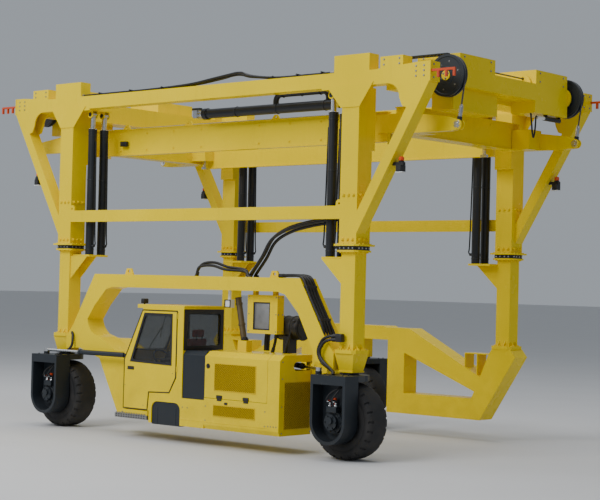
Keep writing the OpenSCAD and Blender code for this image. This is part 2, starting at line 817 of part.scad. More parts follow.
module tyre() {
    h = tyre_w / 2;
    color("black") rotate([90, 0, 0]) rotate_extrude($fn = 64) polygon(concat(
        [[rim_r + seat, h - 25], [rim_r + seat, 25 - h], [rim_r + 30, -h]],
        arc([tyre_r - 70, 70 - h], 70, -90, 0, 4), arc([tyre_r - 70, h - 70], 70, 0, 90, 4),
        [[rim_r + 30, h]]));
}

module rim() {
    h = tyre_w / 2 - 25;
    color("lightgray") rotate([90, 0, 0]) rotate_extrude() polygon([
        [axle_r + run, -90], [130, -90], [130, -50], [rim_r - 30, -30], [rim_r - 30, -h],
        [rim_r, -h], [rim_r, h], [rim_r - 30, h], [rim_r - 30, 10], [130, 30], [130, 100],
        [axle_r + run, 100]]);
}

motor_r = 150;
motor_web = 60;

// One fork: plate, kingpin, leg with a recess for the wheel motor, stub axle, and a
// steering boss at arm, counted from the kingpin
module fork(arm) {
    half = fork_len / 2;
    head_r = 247;
    leg_in = fork_out - fork_leg;
    color(dark) {
        difference() {
            union() {
                // top plate with a half-round end about the kingpin
                bar_z([0, 0, fork_z], fork_plate, head_r);
                translate([0, 0, fork_z]) linear_extrude(fork_plate) polygon([[-head_r, 0], [head_r, 0],
                    [half, leg_in], [half, fork_out], [-half, fork_out], [-half, leg_in]]);
                // leg, round at the foot
                translate([0, fork_out, 0]) rotate([90, 0, 0]) linear_extrude(fork_leg) union() {
                    translate([-half, tyre_r]) square([fork_len, fork_z - tyre_r + 1]);
                    translate([0, tyre_r]) circle(r = half);
                }
                bar_z([0, 0, fork_top - 1], thrust_h + 1 - seat, kingpin_r + 20);
                bar_z([0, 0, fork_top - 1], kingpin_len + thrust_h, kingpin_r);
            }
            // recess
            translate([0, fork_out + 1, 0]) rotate([90, 0, 0]) linear_extrude(fork_leg - motor_web) union() {
                translate([fork_flange - half, tyre_r])
                    square([fork_len - 2 * fork_flange, fork_z - tyre_r - fork_flange]);
                translate([0, tyre_r]) circle(r = half - fork_flange);
            }
        }
        bar_y([0, -90, tyre_r], leg_in + 91, axle_r);
        // wheel motor in the recess
        bar_y([0, leg_in + motor_web - 1, tyre_r], 90, motor_r);
        bar_y([0, leg_in + motor_web - 1, tyre_r], 150, motor_r - 45);
        bar_y([0, leg_in + motor_web - 1, tyre_r + 20], 180, 48);
        bar_z([arm[0], arm[1], fork_top - 1], boss_h + 1, 45);
    }
}

// Where each fork's steering boss stands, from its kingpin
arm_front = [128, 326];
arm_rear = [296, 326];
arm_right = [60, 330];
boss_h = 40;

// Places its children at each wheel, seen from the left side
module at_front() translate([col_x, col_y, 0]) children();
module at_rear() translate([-col_x, col_y, 0]) children();
module at_right() translate([0, -col_y, 0]) to_right() children();

module fork_front() at_front() fork(arm_front);
module fork_rear() at_rear() fork(arm_rear);
module fork_right() at_right() fork(arm_right);

module tyre_front() at_front() translate([0, 0, tyre_r]) tyre();
module tyre_rear() at_rear() translate([0, 0, tyre_r]) tyre();
module tyre_right() at_right() translate([0, 0, tyre_r]) tyre();
module rim_front() at_front() translate([0, 0, tyre_r]) rim();
module rim_rear() at_rear() translate([0, 0, tyre_r]) rim();
module rim_right() at_right() translate([0, 0, tyre_r]) rim();

// Steering cylinders, from a pin on the frame to the boss on the fork
eye_h = 50;
steer_eye_r = 42;
ear_t = 20;
steer_z = fork_top + boss_h + seat + eye_h / 2;
clevis_z = [steer_z - eye_h / 2 - 2 - ear_t, steer_z + eye_h / 2 + 2];
front_base = [1160, col_y + arm_front[1], steer_z];
rear_base = [-1371, chassis_y0 + 63, steer_z];
right_base = [1500, -col_y - arm_right[1], steer_z];
front_eye = [col_x + arm_front[0], col_y + arm_front[1], steer_z];
rear_eye = [-col_x + arm_rear[0], col_y + arm_rear[1], steer_z];
right_eye = [arm_right[0], -col_y - arm_right[1], steer_z];

module steer_barrel(base, eye, len) {
    d = (eye - base) / norm(eye - base);
    color(dark) difference() {
        union() {
            rod_between(base + d * 20, base + d * 61, eye_h / 2);
            rod_between(base + d * 60, base + d * len, steer_r);
            rod_between(base + d * (len - 40), base + d * len, steer_r + 6);
            bar_z(base - [0, 0, eye_h / 2], eye_h, steer_eye_r);
        }
        bar_z(base - [0, 0, eye_h], 2 * eye_h, pin_r + run);
        rod_between(base + d * 80, base + d * (len + 1), steer_rod_r + run);
    }
}

// The rod starts inside the barrel, hidden deep from its mouth at len
module steer_rod(base, eye, len, hidden) {
    d = (eye - base) / norm(eye - base);
    color("silver") {
        rod_between(base + d * (len - hidden), eye - d * 20, steer_rod_r);
        bar_z(eye - [0, 0, eye_h / 2], eye_h, steer_eye_r);
    }
}

// Two ears with a pin between them, which the barrel turns on
module steer_clevis(base) {
    bar_z([base[0], base[1], clevis_z[0]], clevis_z[1] - clevis_z[0] + ear_t, pin_r);
    for (z = clevis_z) bar_z([base[0], base[1], z], ear_t, steer_eye_r + 3);
}

// Barrel lengths, and how deep the rods reach in
front_len = 1090;
rear_len = 760;
right_len = 760;
front_hidden = 500;
rear_hidden = 370;
right_hidden = 400;

module steer_barrel_front() steer_barrel(front_base, front_eye, front_len);
module steer_barrel_rear() steer_barrel(rear_base, rear_eye, rear_len);
module steer_barrel_right() steer_barrel(right_base, right_eye, right_len);
module steer_rod_front() steer_rod(front_base, front_eye, front_len, front_hidden);
module steer_rod_rear() steer_rod(rear_base, rear_eye, rear_len, rear_hidden);
module steer_rod_right() steer_rod(right_base, right_eye, right_len, right_hidden);

/* Cab and power pack */

cab_back = -180;
cab_front = 1060;
brow_x = 670;
knee_z = 1160;
well_z = 430;
well_x = 500;
well_y = chassis_y1 + 10;
pack_x1 = -630;

// The cab's front slopes back from knee to brow: x at a height, depth inside the skin
rake = atan2(roof_z - knee_z, cab_front - brow_x);
function front_x(z, depth) = cab_front - (z - knee_z) / tan(rake) - depth / sin(rake);

// Cab body: full width above the floor, and the foot well, each as [outline in XZ,
// y0, y1], shrunk by a wall w and open at the top
function cab_parts(w) = let (top = roof_z + min(w, 1)) [
    [[[cab_back + w, floor_z + w], [cab_back + w, top], [front_x(top, w), top],
        [cab_front - w, knee_z - w * (1 / sin(rake) - 1) * tan(rake)], [cab_front - w, floor_z + w]],
        cab_in + w, side_y - w],
    [[[well_x + w, well_z + w], [cab_front - w, well_z + w], [cab_front - w, floor_z + w + 1],
        [well_x + w, floor_z + w + 1]], well_y + w, side_y - w]];

// Door outline, and its opening, larger by the gap and open at the cab's front edge
door_x0 = -50;
door_top = 1905;
door_low = 435;
door_outline = [[door_x0, door_top], [front_x(door_top, 8), door_top], [cab_front - 5, knee_z - 8],
    [cab_front - 5, door_low], [530, door_low], [505, 700], [80, 715], [door_x0, 945]];
hinge_gap = 9;
door_hole = [[door_x0 - hinge_gap, door_top + door_gap],
    [front_x(door_top + door_gap, -2), door_top + door_gap], [cab_front + 2, knee_z + 2],
    [cab_front + 2, well_z - 1], [530 - door_gap, well_z - 1], [505 - door_gap, 700 - door_gap],
    [80 - door_gap, 715 - door_gap], [door_x0 - hinge_gap, 945 - door_gap]];

// Window openings, shrunk by e for the panes
function door_pane(e) = [[45 + e, 1862 - e], [640 - 2 * e, 1862 - e],
    [930 - 2 * e, 1130 + e], [45 + e, 1110 + e]];
screen_z = [1290, 1870];
function screen(e, d0, d1) = [for (p = [[0, d0], [1, d0], [1, d1], [0, d1]])
    let (z = screen_z[p[0]] + (p[0] == 0 ? e : -e)) [front_x(z, p[1]), z]];

inner_window = [[-100, 1150], [560, 1870]];
rear_window = [[cab_in + 60, 1390], [side_y - 50, 1890]];
screen_y = [cab_in + 60, side_y - 70];

// Hinges of the cab door: axis and heights
hinge_x = door_x0 - 12;
hinge_y = side_y - 8;
hinge_r = 8;
hinge_rows = [1060, 1840];

module cab_shell() {
    color(yellow) {
        difference() {
            for (p = cab_parts(0)) plate_xz(p[0], p[1], p[2]);
            for (p = cab_parts(panel)) plate_xz(p[0], p[1], p[2]);
            // door opening with pockets for the hinges
            plate_xz(door_hole, side_y - panel - 1, side_y + 1);
            for (z = hinge_rows)
                block([hinge_x - 16, hinge_y - 16, z - 45], [hinge_x + 8, side_y + 1, z + 45]);
            // windows
            block([inner_window[0][0], cab_in - 1, inner_window[0][1]],
                [inner_window[1][0], cab_in + panel + 1, inner_window[1][1]]);
            block([cab_back - 1, rear_window[0][0], rear_window[0][1]],
                [cab_back + panel + 1, rear_window[1][0], rear_window[1][1]]);
            plate_xz(screen(0, -9, panel + 9), screen_y[0], screen_y[1]);
        }
        // fixed halves of the hinges
        for (z = hinge_rows) bar_z([hinge_x, hinge_y, z - 46], 46 - seat, hinge_r);
    }
}

module cab_roof() {
    color(yellow) {
        block([cab_back - 5, cab_in, roof_z + seat], [brow_x + 120, side_y, roof_z + 40]);
        block([cab_back + 60, cab_in + 60, roof_z + 39], [brow_x - 60, side_y - 60, roof_z + 52]);
    }
}

glass_t = 6;
glass_in = 20;

module cab_glass() {
    e = seat;
    color("lightblue", 0.4) {
        block([inner_window[0][0] + e, cab_in + glass_in, inner_window[0][1] + e],
            [inner_window[1][0] - e, cab_in + glass_in + glass_t, inner_window[1][1] - e]);
        block([cab_back + glass_in, rear_window[0][0] + e, rear_window[0][1] + e],
            [cab_back + glass_in + glass_t, rear_window[1][0] - e, rear_window[1][1] - e]);
        plate_xz(screen(e, glass_in, glass_in + glass_t), screen_y[0] + e, screen_y[1] - e);
    }
}

module door_glass() {
    color("lightblue", 0.4) plate_xz(door_pane(seat), side_y - glass_in - glass_t, side_y - glass_in);
}

module cab_door() {
    color(yellow) {
        difference() {
            plate_xz(door_outline, side_y - panel + door_gap, side_y);
            plate_xz(door_pane(0), side_y - panel, side_y + 1);
        }
        // moving halves of the hinges
        for (z = hinge_rows) {
            bar_z([hinge_x, hinge_y, z], 40, hinge_r);
            block([hinge_x, hinge_y - 5, z], [door_x0 + 1, hinge_y + 5, z + 40]);
        }
    }
}

// Driver's seat: cushion along X and Y, heights of its underside and top, back's top
seat_x = [60, 480];
seat_y = [1690, 2080];
seat_z = [1000, 1120];
seat_back_z = 1635;

module driver_seat() {
    low = floor_z + panel + seat;
    color("firebrick") {
        block([seat_x[0] + 120, seat_y[0] + 100, low], [seat_x[1] - 100, seat_y[1] - 100, seat_z[0] + 1]);
        block([seat_x[0], seat_y[0], seat_z[0]], [seat_x[1], seat_y[1], seat_z[1]]);
        plate_xz([[seat_x[0] - 60, seat_back_z], [seat_x[0] + 40, seat_back_z],
            [seat_x[0] + 110, seat_z[1] - 1], [seat_x[0], seat_z[1] - 1]], seat_y[0] + 10, seat_y[1] - 10);
    }
}

module cab_console() {
    low = floor_z + panel + seat;
    color("black") plate_xz([[620, low], [820, low], [880, 1120], [760, 1280], [640, 1270],
        [680, 1000]], cab_in + panel + 10, cab_in + panel + 180);
}

step_z = 290;
step_h = 65;
step_len = 690;
step_w = 240;

module entry_step() {
    x0 = well_x + 40;
    top = step_z + step_h;
    color("gray") {
        difference() {
            block([x0, side_y - step_w, step_z], [x0 + step_len, side_y, top]);
            block([x0 + 6, side_y - step_w + 8, step_z - 1], [x0 + step_len - 6, side_y - 8, top - 8]);
            for (i = [0 : 7]) for (y = [60, 120, 180])
                bar_z([x0 + 65 + i * 80, side_y - y, step_z], step_h + 2, 20);
        }
        // hangers under the foot well
        for (x = [x0 + 8, cab_front - 40])
            block([x, side_y - step_w, top - 1], [x + 12, side_y - panel - 10, well_z - seat]);
    }
}

// Panel with round upper corners, seen from the side
module round_top(x0, x1, z0, z1, r, y0, y1) {
    translate([0, y1, 0]) rotate([90, 0, 0]) linear_extrude(y1 - y0) {
        translate([x0, z0]) square([x1 - x0, z1 - r - z0]);
        translate([x0 + r, z0]) square([x1 - x0 - 2 * r, z1 - z0]);
        for (x = [x0 + r, x1 - r]) translate([x, z1 - r]) circle(r = r);
    }
}

fuel_x = [-150, 440];
fuel_top = 580;
fuel_depth = 140;

// Low chassis box under the cab, with a recess for the fuel tank
module side_skirt() {
    color(yellow) difference() {
        block([pack_x1 + seat, chassis_y1 + seat, belly_z], [well_x - seat, side_y, floor_z - seat]);
        round_top(fuel_x[0], fuel_x[1], belly_z - 1, fuel_top, 110, side_y - fuel_depth, side_y + 1);
        block([pack_x1 + sheet, chassis_y1 + sheet, belly_z - 1],
            [well_x - sheet, side_y - fuel_depth - sheet, floor_z - sheet - seat]);
    }
}

// Fuel tank in the skirt's recess, and the tall oil tank behind the cab's pillar
module tanks() {
    color(dark) {
        round_top(fuel_x[0] + seat, fuel_x[1] - seat, belly_z - 15, fuel_top - seat, 110,
            side_y - fuel_depth + seat, side_y - 15);
        plate_yz([[chassis_y1 + 5, floor_z], [side_y - 10, floor_z], [side_y - 10, pack_z - 75],
            [side_y - 60, pack_z - 15], [chassis_y1 + 5, pack_z - 15]], pack_x1 + 5, cab_back - 5);
    }
}

// Louvres: slots of the height slot_h at a pitch, between two heights
slot_h = 12;
slot_pitch = 26;

module slots_y(x0, x1, z0, z1, y0, y1) {
    for (z = [z0 : slot_pitch : z1 - slot_h]) block([x0, y0, z], [x1, y1, z + slot_h]);
}

module slots_x(y0, y1, z0, z1, x0, x1) {
    for (z = [z0 : slot_pitch : z1 - slot_h]) block([x0, y0, z], [x1, y1, z + slot_h]);
}

pack_y0 = chassis_y1 + seat;
corner_x = -1830;
pack_door_z = 700;
bevel_y = side_y - 98;
bevel_z = pack_z - 75;
pack_hinge_y = side_y - 115;
pack_hinge_z = pack_z - 10;
pack_hinge_r = 9;
pack_hinges = [-760, -1230, -1700];

// Where the rear steering cylinder's centre line crosses the inner and the rear wall
rear_slope = (rear_eye[1] - rear_base[1]) / (rear_eye[0] - rear_base[0]);
in_x = rear_base[0] + (pack_y0 - rear_base[1]) / rear_slope;
out_y = rear_base[1] + (pack_x - rear_base[0]) * rear_slope;

module pack_housing() {
    color(yellow) {
        difference() {
            plate_yz([[pack_y0, belly_z], [side_y - 30, belly_z], [side_y, belly_z + 60], [side_y, bevel_z],
                [bevel_y, pack_z], [pack_y0, pack_z]], pack_x, pack_x1);
            plate_yz([[pack_y0 + sheet, belly_z + sheet], [side_y - sheet, belly_z + sheet],
                [side_y - sheet, bevel_z - 8], [bevel_y - 8, pack_z - sheet],
                [pack_y0 + sheet, pack_z - sheet]], pack_x + sheet, pack_x1 - sheet);
            // opening under the door, its bevel and its hinges
            block([corner_x - door_gap, side_y - 110, pack_door_z - door_gap],
                [pack_x1 + 1, side_y + 1, pack_z + 1]);
            block([corner_x - door_gap, pack_hinge_y - 16, pack_hinge_z - 16],
                [pack_x1 + 1, side_y, pack_z + 1]);
            // slots for the steering cylinder in the inner and rear walls
            block([in_x - 217, pack_y0 - 1, steer_z - 60], [in_x + 153, pack_y0 + sheet + 1, steer_z + 60]);
            block([pack_x - 1, out_y - 130, steer_z - 60], [pack_x + sheet + 1, out_y + 140, steer_z + 60]);
            for (y = [out_y - 130, out_y + 140]) bar_x([pack_x - 1, y, steer_z], sheet + 2, 60);
            // louvres in the rear wall and low in the side
            slots_x(1720, 2260, 350, 990, pack_x - 1, pack_x + sheet + 1);
            slots_y(-1610, -820, 455, 605, side_y - sheet - 1, side_y + 1);
        }
        // fixed knuckles of the door's hinges
        for (x = pack_hinges) {
            bar_x([x - 40, pack_hinge_y, pack_hinge_z], 40 - seat, pack_hinge_r);
            block([x - 40, pack_hinge_y - 17, pack_hinge_z - 5], [x - seat, pack_hinge_y, pack_hinge_z + 5]);
        }
        // filler stub
        block([-1050, 1840, pack_z - 1], [-880, 1960, pack_z + 155]);
    }
}

module pack_door() {
    color(yellow) {
        difference() {
            plate_yz([[side_y, pack_door_z], [side_y, bevel_z], [bevel_y + 4, pack_z - 3],
                [bevel_y - 2, pack_z - 15], [side_y - sheet, bevel_z - 10],
                [side_y - sheet, pack_door_z]], corner_x, pack_x1 - door_gap);
            slots_y(-1615, -830, 815, 1190, side_y - sheet - 1, side_y + 1);
        }
        for (x = pack_hinges) {
            bar_x([x, pack_hinge_y, pack_hinge_z], 40, pack_hinge_r);
            plate_yz([[pack_hinge_y, pack_hinge_z - 8], [bevel_y + 10, pack_z - 22],
                [bevel_y + 10, pack_z - 8], [pack_hinge_y, pack_hinge_z + 8]], x, x + 40);
        }
    }
}

module engine() {
    color("dimgray") {
        block([-1800, 1780, belly_z + sheet + seat], [-800, 2200, 1050]);
        // air cleaner on a bracket on top of the housing
        bar_x([-1800, 1585, 1715], 430, 165);
        block([-1650, 1560, pack_z + seat], [-1550, 1745, 1600]);
        // leaning exhaust pipe on its flange
        rod_between([-875, 1790, pack_z + 12], [-711, 1790, 2116], 40);
        block([-920, 1745, pack_z + seat], [-830, 1835, pack_z + 25]);
    }
}

module hydraulic_cabinet() {
    color(yellow) {
        difference() {
            block([-1570, 1760, 1625], [-1000, 1900, 2172]);
            block([-1430, 1885, 1675], [-1110, 1901, 2070]);
        }
        for (x = [-1500, -1120]) block([x, 1800, 2171], [x + 60, 1860, arch_low - seat]);
    }
}

module work_lamp() {
    color("white") {
        block([-700, 1860, 1975], [-585, 1940, 2090]);
        block([-665, 1890, 2089], [-620, 1910, arch_low - seat]);
    }
}

left_frame();
right_frame();
masts();
stop_pads();
lift_barrels();
cab_shell();
cab_roof();
cab_glass();
driver_seat();
cab_console();
entry_step();
side_skirt();
tanks();
pack_housing();
engine();
hydraulic_cabinet();
work_lamp();
cab_door();
door_glass();
pack_door();
left_side_frame();
right_side_frame();
cross_girders();
lift_rods();
catch_hooks();
hoist_barrel();
rope_runs();
rope_guides();
rail_hoses();
beacons();
brace_lamps();
hoist_rod();
sheave_front_left();
sheave_front_right();
sheave_rear_left();
sheave_rear_right();
spreader();
hoist_ropes();
twistlock_front_left();
twistlock_front_right();
twistlock_rear_left();
twistlock_rear_right();
fork_front();
fork_rear();
fork_right();
tyre_front();
tyre_rear();
tyre_right();
rim_front();
rim_rear();
rim_right();
steer_barrel_front();
steer_barrel_rear();
steer_barrel_right();
steer_rod_front();
steer_rod_rear();
steer_rod_right();
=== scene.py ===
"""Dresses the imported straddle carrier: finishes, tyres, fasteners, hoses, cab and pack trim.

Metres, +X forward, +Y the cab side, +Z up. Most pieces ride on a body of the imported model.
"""

import json
import math

import bmesh
import bpy
from bpy.props import FloatProperty, FloatVectorProperty, IntProperty, PointerProperty
from mathutils import Matrix, Vector


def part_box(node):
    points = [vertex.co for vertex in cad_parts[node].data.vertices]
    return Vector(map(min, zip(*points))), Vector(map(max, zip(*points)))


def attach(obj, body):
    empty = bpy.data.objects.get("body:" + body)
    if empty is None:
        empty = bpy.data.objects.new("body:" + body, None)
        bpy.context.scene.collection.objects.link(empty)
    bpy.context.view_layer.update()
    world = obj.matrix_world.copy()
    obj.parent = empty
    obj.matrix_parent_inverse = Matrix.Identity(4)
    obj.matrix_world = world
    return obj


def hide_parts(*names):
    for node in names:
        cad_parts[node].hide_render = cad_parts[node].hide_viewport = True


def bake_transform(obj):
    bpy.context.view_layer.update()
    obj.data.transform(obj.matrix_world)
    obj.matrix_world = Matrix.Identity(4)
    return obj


bl_info = {
    "name": "Straddle carrier dress",
    "version": (1, 0, 0),
    "blender": (4, 5, 0),
    "location": "View3D > Sidebar > Carrier",
    "description": "Finishes and fittings for the packed straddle carrier",
    "category": "Add Mesh",
}

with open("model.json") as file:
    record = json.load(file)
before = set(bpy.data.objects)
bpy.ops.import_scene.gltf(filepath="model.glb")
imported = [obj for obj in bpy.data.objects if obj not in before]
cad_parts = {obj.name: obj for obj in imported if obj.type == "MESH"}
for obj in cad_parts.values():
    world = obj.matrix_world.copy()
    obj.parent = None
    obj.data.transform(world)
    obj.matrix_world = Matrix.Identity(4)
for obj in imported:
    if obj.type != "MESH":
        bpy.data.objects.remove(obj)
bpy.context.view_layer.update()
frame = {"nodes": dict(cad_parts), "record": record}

X, Y, Z = Vector((1, 0, 0)), Vector((0, 1, 0)), Vector((0, 0, 1))
ENDS = (1, -1)
QUARTERS = [(sx, sy) for sx in ENDS for sy in ENDS]

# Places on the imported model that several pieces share
COL_X, COL_Y = 2.906, 1.874  # a column's centre
RAIL_X, RAIL_FACE, RAIL_TOP = 4.2, 2.022, 5.210  # a top rail's end, outer face and top
SIDE_Y = 2.36  # outer face of the power pack and the cab door
SHEAVE_X, SHEAVE_Z = 4.1, 5.135
LUG_X, LUG_Y, LUG_Z = 4.29, 1.47, 4.48  # a pin that hangs the spreader on its rope
HOIST_Y, HOIST_Z = 1.58, 4.85  # axis of the hoist cylinder
AXLE_Z = 0.52
# Axle's place, and the side of the wheel that its fork is on
WHEELS = {"front": (COL_X, COL_Y, 1), "rear": (-COL_X, COL_Y, 1), "right": (0.0, -COL_Y, -1)}

# The camera that took the photo, fitted to the size of the load
CAMERA_PLACE = (-15.959, 17.962, 2.329)
CAMERA_YAW, CAMERA_PITCH, CAMERA_ROLL = -0.854, 0.0226, 0.0253
CAMERA_LENS, CAMERA_SENSOR = 92.27, 36


class CarrierPaint(bpy.types.PropertyGroup):
    """Colours of the carrier's finishes"""

    yellow: FloatVectorProperty(
        name="Body yellow", description="Colour of the main paint",
        subtype="COLOR", size=3, min=0, max=1, default=(0.92, 0.68, 0.0))
    dark: FloatVectorProperty(
        name="Fork grey", description="Colour of the forks and tanks",
        subtype="COLOR", size=3, min=0, max=1, default=(0.018, 0.024, 0.031))
    hook: FloatVectorProperty(
        name="Hook orange", description="Colour of the catch hooks",
        subtype="COLOR", size=3, min=0, max=1, default=(0.62, 0.055, 0.0))
    seat: FloatVectorProperty(
        name="Seat cloth", description="Colour of the driver's seat",
        subtype="COLOR", size=3, min=0, max=1, default=(0.62, 0.05, 0.02))
    grime: FloatProperty(
        name="Grime", description="How much dirt lies on the lower machine",
        subtype="FACTOR", min=0, max=1, default=0.25)


class CarrierParts(bpy.types.PropertyGroup):
    """Sizes of the carrier's added pieces"""

    bolt: FloatProperty(
        name="Bolt head", description="Radius of a column bolt's head",
        unit="LENGTH", min=0.008, max=0.03, default=0.017)
    notches: IntProperty(
        name="Tread notches", description="Notches in each shoulder of a tyre",
        min=12, max=36, default=24)
    notch_depth: FloatProperty(
        name="Notch depth", description="Depth of a notch in a tyre's shoulder",
        unit="LENGTH", min=0.004, max=0.03, default=0.018)
    hose: FloatProperty(
        name="Hose", description="Radius of a pressure hose",
        unit="LENGTH", min=0.01, max=0.03, default=0.017)
    mesh_pitch: FloatProperty(
        name="Grille pitch", description="Width of a diamond in the grilles",
        unit="LENGTH", min=0.015, max=0.06, default=0.038)


# Modelling helpers

def only(obj):
    """Leaves one object selected and active."""
    bpy.ops.object.select_all(action="DESELECT")
    obj.select_set(True)
    bpy.context.view_layer.objects.active = obj


def settle(obj):
    """Makes a piece a mesh whose place is in its vertices."""
    only(obj)
    if obj.type != "MESH":
        bpy.ops.object.convert(target="MESH")
    bpy.ops.object.transform_apply(location=True, rotation=True, scale=True)
    return bpy.context.view_layer.objects.active


def soften(obj, width=0.003, segments=2, angle=35):
    """Rounds a piece's edges with a bevel that is then applied."""
    only(obj)
    bevel = obj.modifiers.new("edges", "BEVEL")
    bevel.width, bevel.segments = width, segments
    bevel.limit_method, bevel.angle_limit = "ANGLE", math.radians(angle)
    bpy.ops.object.modifier_apply(modifier=bevel.name)
    return obj


def join(parts):
    """Joins meshes into the first of them."""
    if len(parts) > 1:
        bpy.ops.object.select_all(action="DESELECT")
        for part in parts:
            part.select_set(True)
        bpy.context.view_layer.objects.active = parts[0]
        bpy.ops.object.join()
    return parts[0]


def keep(obj, name, body, slot, stands_for=(), smooth=35, finish=None):
    """Names a finished piece, gives it its finish and lets it ride on a body."""
    obj = settle(obj)
    obj.name = obj.data.name = name
    bpy.ops.object.shade_smooth_by_angle(angle=math.radians(smooth))
    obj.data.materials.clear()
    obj.data.materials.append(bpy.data.materials[f"{finish or slot}_finish"])
    if body:
        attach(obj, body)
    if stands_for:
        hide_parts(*stands_for)
    return obj


def box(low, high, edge=0.003, segments=2):
    """A block between two corners with rounded edges."""
    low, high = Vector(low), Vector(high)
    bpy.ops.object.select_all(action="DESELECT")
    bpy.ops.mesh.primitive_cube_add(size=1, location=(low + high) / 2)
    obj = bpy.context.active_object
    obj.scale = high - low
    settle(obj)
    bpy.ops.object.mode_set(mode="EDIT")
    bpy.ops.mesh.select_all(action="SELECT")
    bpy.ops.mesh.bevel(offset=edge, segments=segments, affect="EDGES", clamp_overlap=True)
    bpy.ops.object.mode_set(mode="OBJECT")
    return obj


def rod(start, end, radius, sides=24, edge=0.002):
    """A round bar between two points with rounded rims."""
    start, end = Vector(start), Vector(end)
    bpy.ops.object.select_all(action="DESELECT")
    bpy.ops.mesh.primitive_cylinder_add(
        vertices=sides, radius=radius, depth=(end - start).length, location=(start + end) / 2)
    obj = bpy.context.active_object
    obj.rotation_euler = (end - start).to_track_quat("Z", "Y").to_euler()
    settle(obj)
    return soften(obj, edge, 1) if edge else obj


def ring(centre, axis, major, minor, sides=32, across=10):
    """A round band about an axis."""
    bpy.ops.object.select_all(action="DESELECT")
    bpy.ops.mesh.primitive_torus_add(
        major_radius=major, minor_radius=minor, major_segments=sides, minor_segments=across,
        location=centre, rotation=Vector(axis).to_track_quat("Z", "Y").to_euler())
    return settle(bpy.context.active_object)


def in_plane(origin, across, up):
    """Matrix that stands a flat outline in a plane, facing across x up."""
    across, up = Vector(across).normalized(), Vector(up).normalized()
    return Matrix.Translation(origin) @ Matrix((across, up, across.cross(up))).transposed().to_4x4()


def outline_face(points):
    """A flat face with its corners at the points, made from a filled circle."""
    bpy.ops.object.select_all(action="DESELECT")
    bpy.ops.mesh.primitive_circle_add(vertices=len(points), radius=1, fill_type="NGON")
    obj = bpy.context.active_object
    for vertex, point in zip(obj.data.vertices, points):
        vertex.co = (point[0], point[1], 0)
    return obj


def thicken(obj, thick, matrix, edge):
    """Gives a flat face its thickness, and stands it in its plane."""
    only(obj)
    wall = obj.modifiers.new("wall", "SOLIDIFY")
    wall.thickness, wall.offset = thick, 0
    bpy.ops.object.modifier_apply(modifier=wall.name)
    obj.data.transform(matrix)
    bpy.ops.object.mode_set(mode="EDIT")
    bpy.ops.mesh.select_all(action="SELECT")
    bpy.ops.mesh.normals_make_consistent(inside=False)
    bpy.ops.object.mode_set(mode="OBJECT")
    return soften(obj, edge, 2) if edge else obj


def slab(points, thick, matrix, edge=0.003):
    """A plate cut to an outline, centred on its plane."""
    return thicken(outline_face(points), thick, matrix, edge)


def gasket(points, width, corner, thick, matrix, edge=0.002):
    """A flat frame inside an outline, with its inner corners rounded."""
    obj = outline_face(points)
    bpy.ops.object.mode_set(mode="EDIT")
    bpy.ops.mesh.select_all(action="SELECT")
    bpy.ops.mesh.inset(thickness=width, depth=0, use_boundary=True)
    bpy.ops.mesh.bevel(offset=corner, segments=5, affect="VERTICES", clamp_overlap=True)
    bm = bmesh.from_edit_mesh(obj.data)
    centre = sum((Vector(p).to_2d() for p in points), Vector((0, 0))) / len(points)
    inner = min(bm.faces, key=lambda f: (f.calc_center_median().to_2d() - centre).length)
    for face in bm.faces:
        face.select_set(face == inner)
    bmesh.update_edit_mesh(obj.data)
    bpy.ops.mesh.delete(type="ONLY_FACE")
    bpy.ops.object.mode_set(mode="OBJECT")
    return thicken(obj, thick, matrix, edge)


def smooth_line(points, steps=7):
    """Points along a smooth line through the given points."""
    points = [Vector(p) for p in points]
    ends = [2 * points[0] - points[1], *points, 2 * points[-1] - points[-2]]
    line = []
    for i in range(1, len(ends) - 2):
        a, b, c, d = ends[i - 1:i + 3]
        for step in range(steps):
            t = step / steps
            line.append(0.5 * (2 * b + (c - a) * t + (2 * a - 5 * b + 4 * c - d) * t ** 2
                               + (3 * b - a - 3 * c + d) * t ** 3))
    return [*line, points[-1]]


def tube(points, radius, closed=False, steps=7, resolution=3):
    """A round tube along a smooth line, or along straight pieces where steps is 0."""
    line = smooth_line(points, steps) if steps else [Vector(p) for p in points]
    curve = bpy.data.curves.new("line", "CURVE")
    curve.dimensions, curve.bevel_depth = "3D", radius
    curve.bevel_resolution, curve.use_fill_caps = resolution, True
    spline = curve.splines.new("POLY")
    spline.points.add(len(line) - 1)
    for point, place in zip(spline.points, line):
        point.co = (*place, 1)
    spline.use_cyclic_u = closed
    obj = bpy.data.objects.new("line", curve)
    bpy.context.collection.objects.link(obj)
    return settle(obj)


def bolt(radius, height, washer=True):
    """A hexagon head on its washer, standing on the origin."""
    head = rod((0, 0, 0), (0, 0, height), radius, 6, height * 0.12)
    if not washer:
        return head
    return join([head, rod((0, 0, -0.001), (0, 0, height * 0.22), radius * 1.35, 14, 0)])


def scatter(model, spots):
    """Copies a model to each spot, given as a point and the way it faces."""
    parts = []
    for point, axis in spots:
        copy = bpy.data.objects.new(model.name, model.data.copy())
        bpy.context.collection.objects.link(copy)
        turn = Z.rotation_difference(Vector(axis)).to_matrix().to_4x4()
        copy.data.transform(Matrix.Translation(point) @ turn)
        parts.append(copy)
    bpy.data.objects.remove(model)
    return join(parts)


def circle(centre, axis, radius, count, phase=0.0):
    """Spots evenly round an axis, all facing along it."""
    axis = Vector(axis)
    side = (Z if abs(axis.z) < 0.5 else X).cross(axis).normalized()
    up = axis.cross(side)
    return [(Vector(centre) + radius * (math.cos(a) * side + math.sin(a) * up), axis)
            for a in (phase + 2 * math.pi * i / count for i in range(count))]


# Finishes

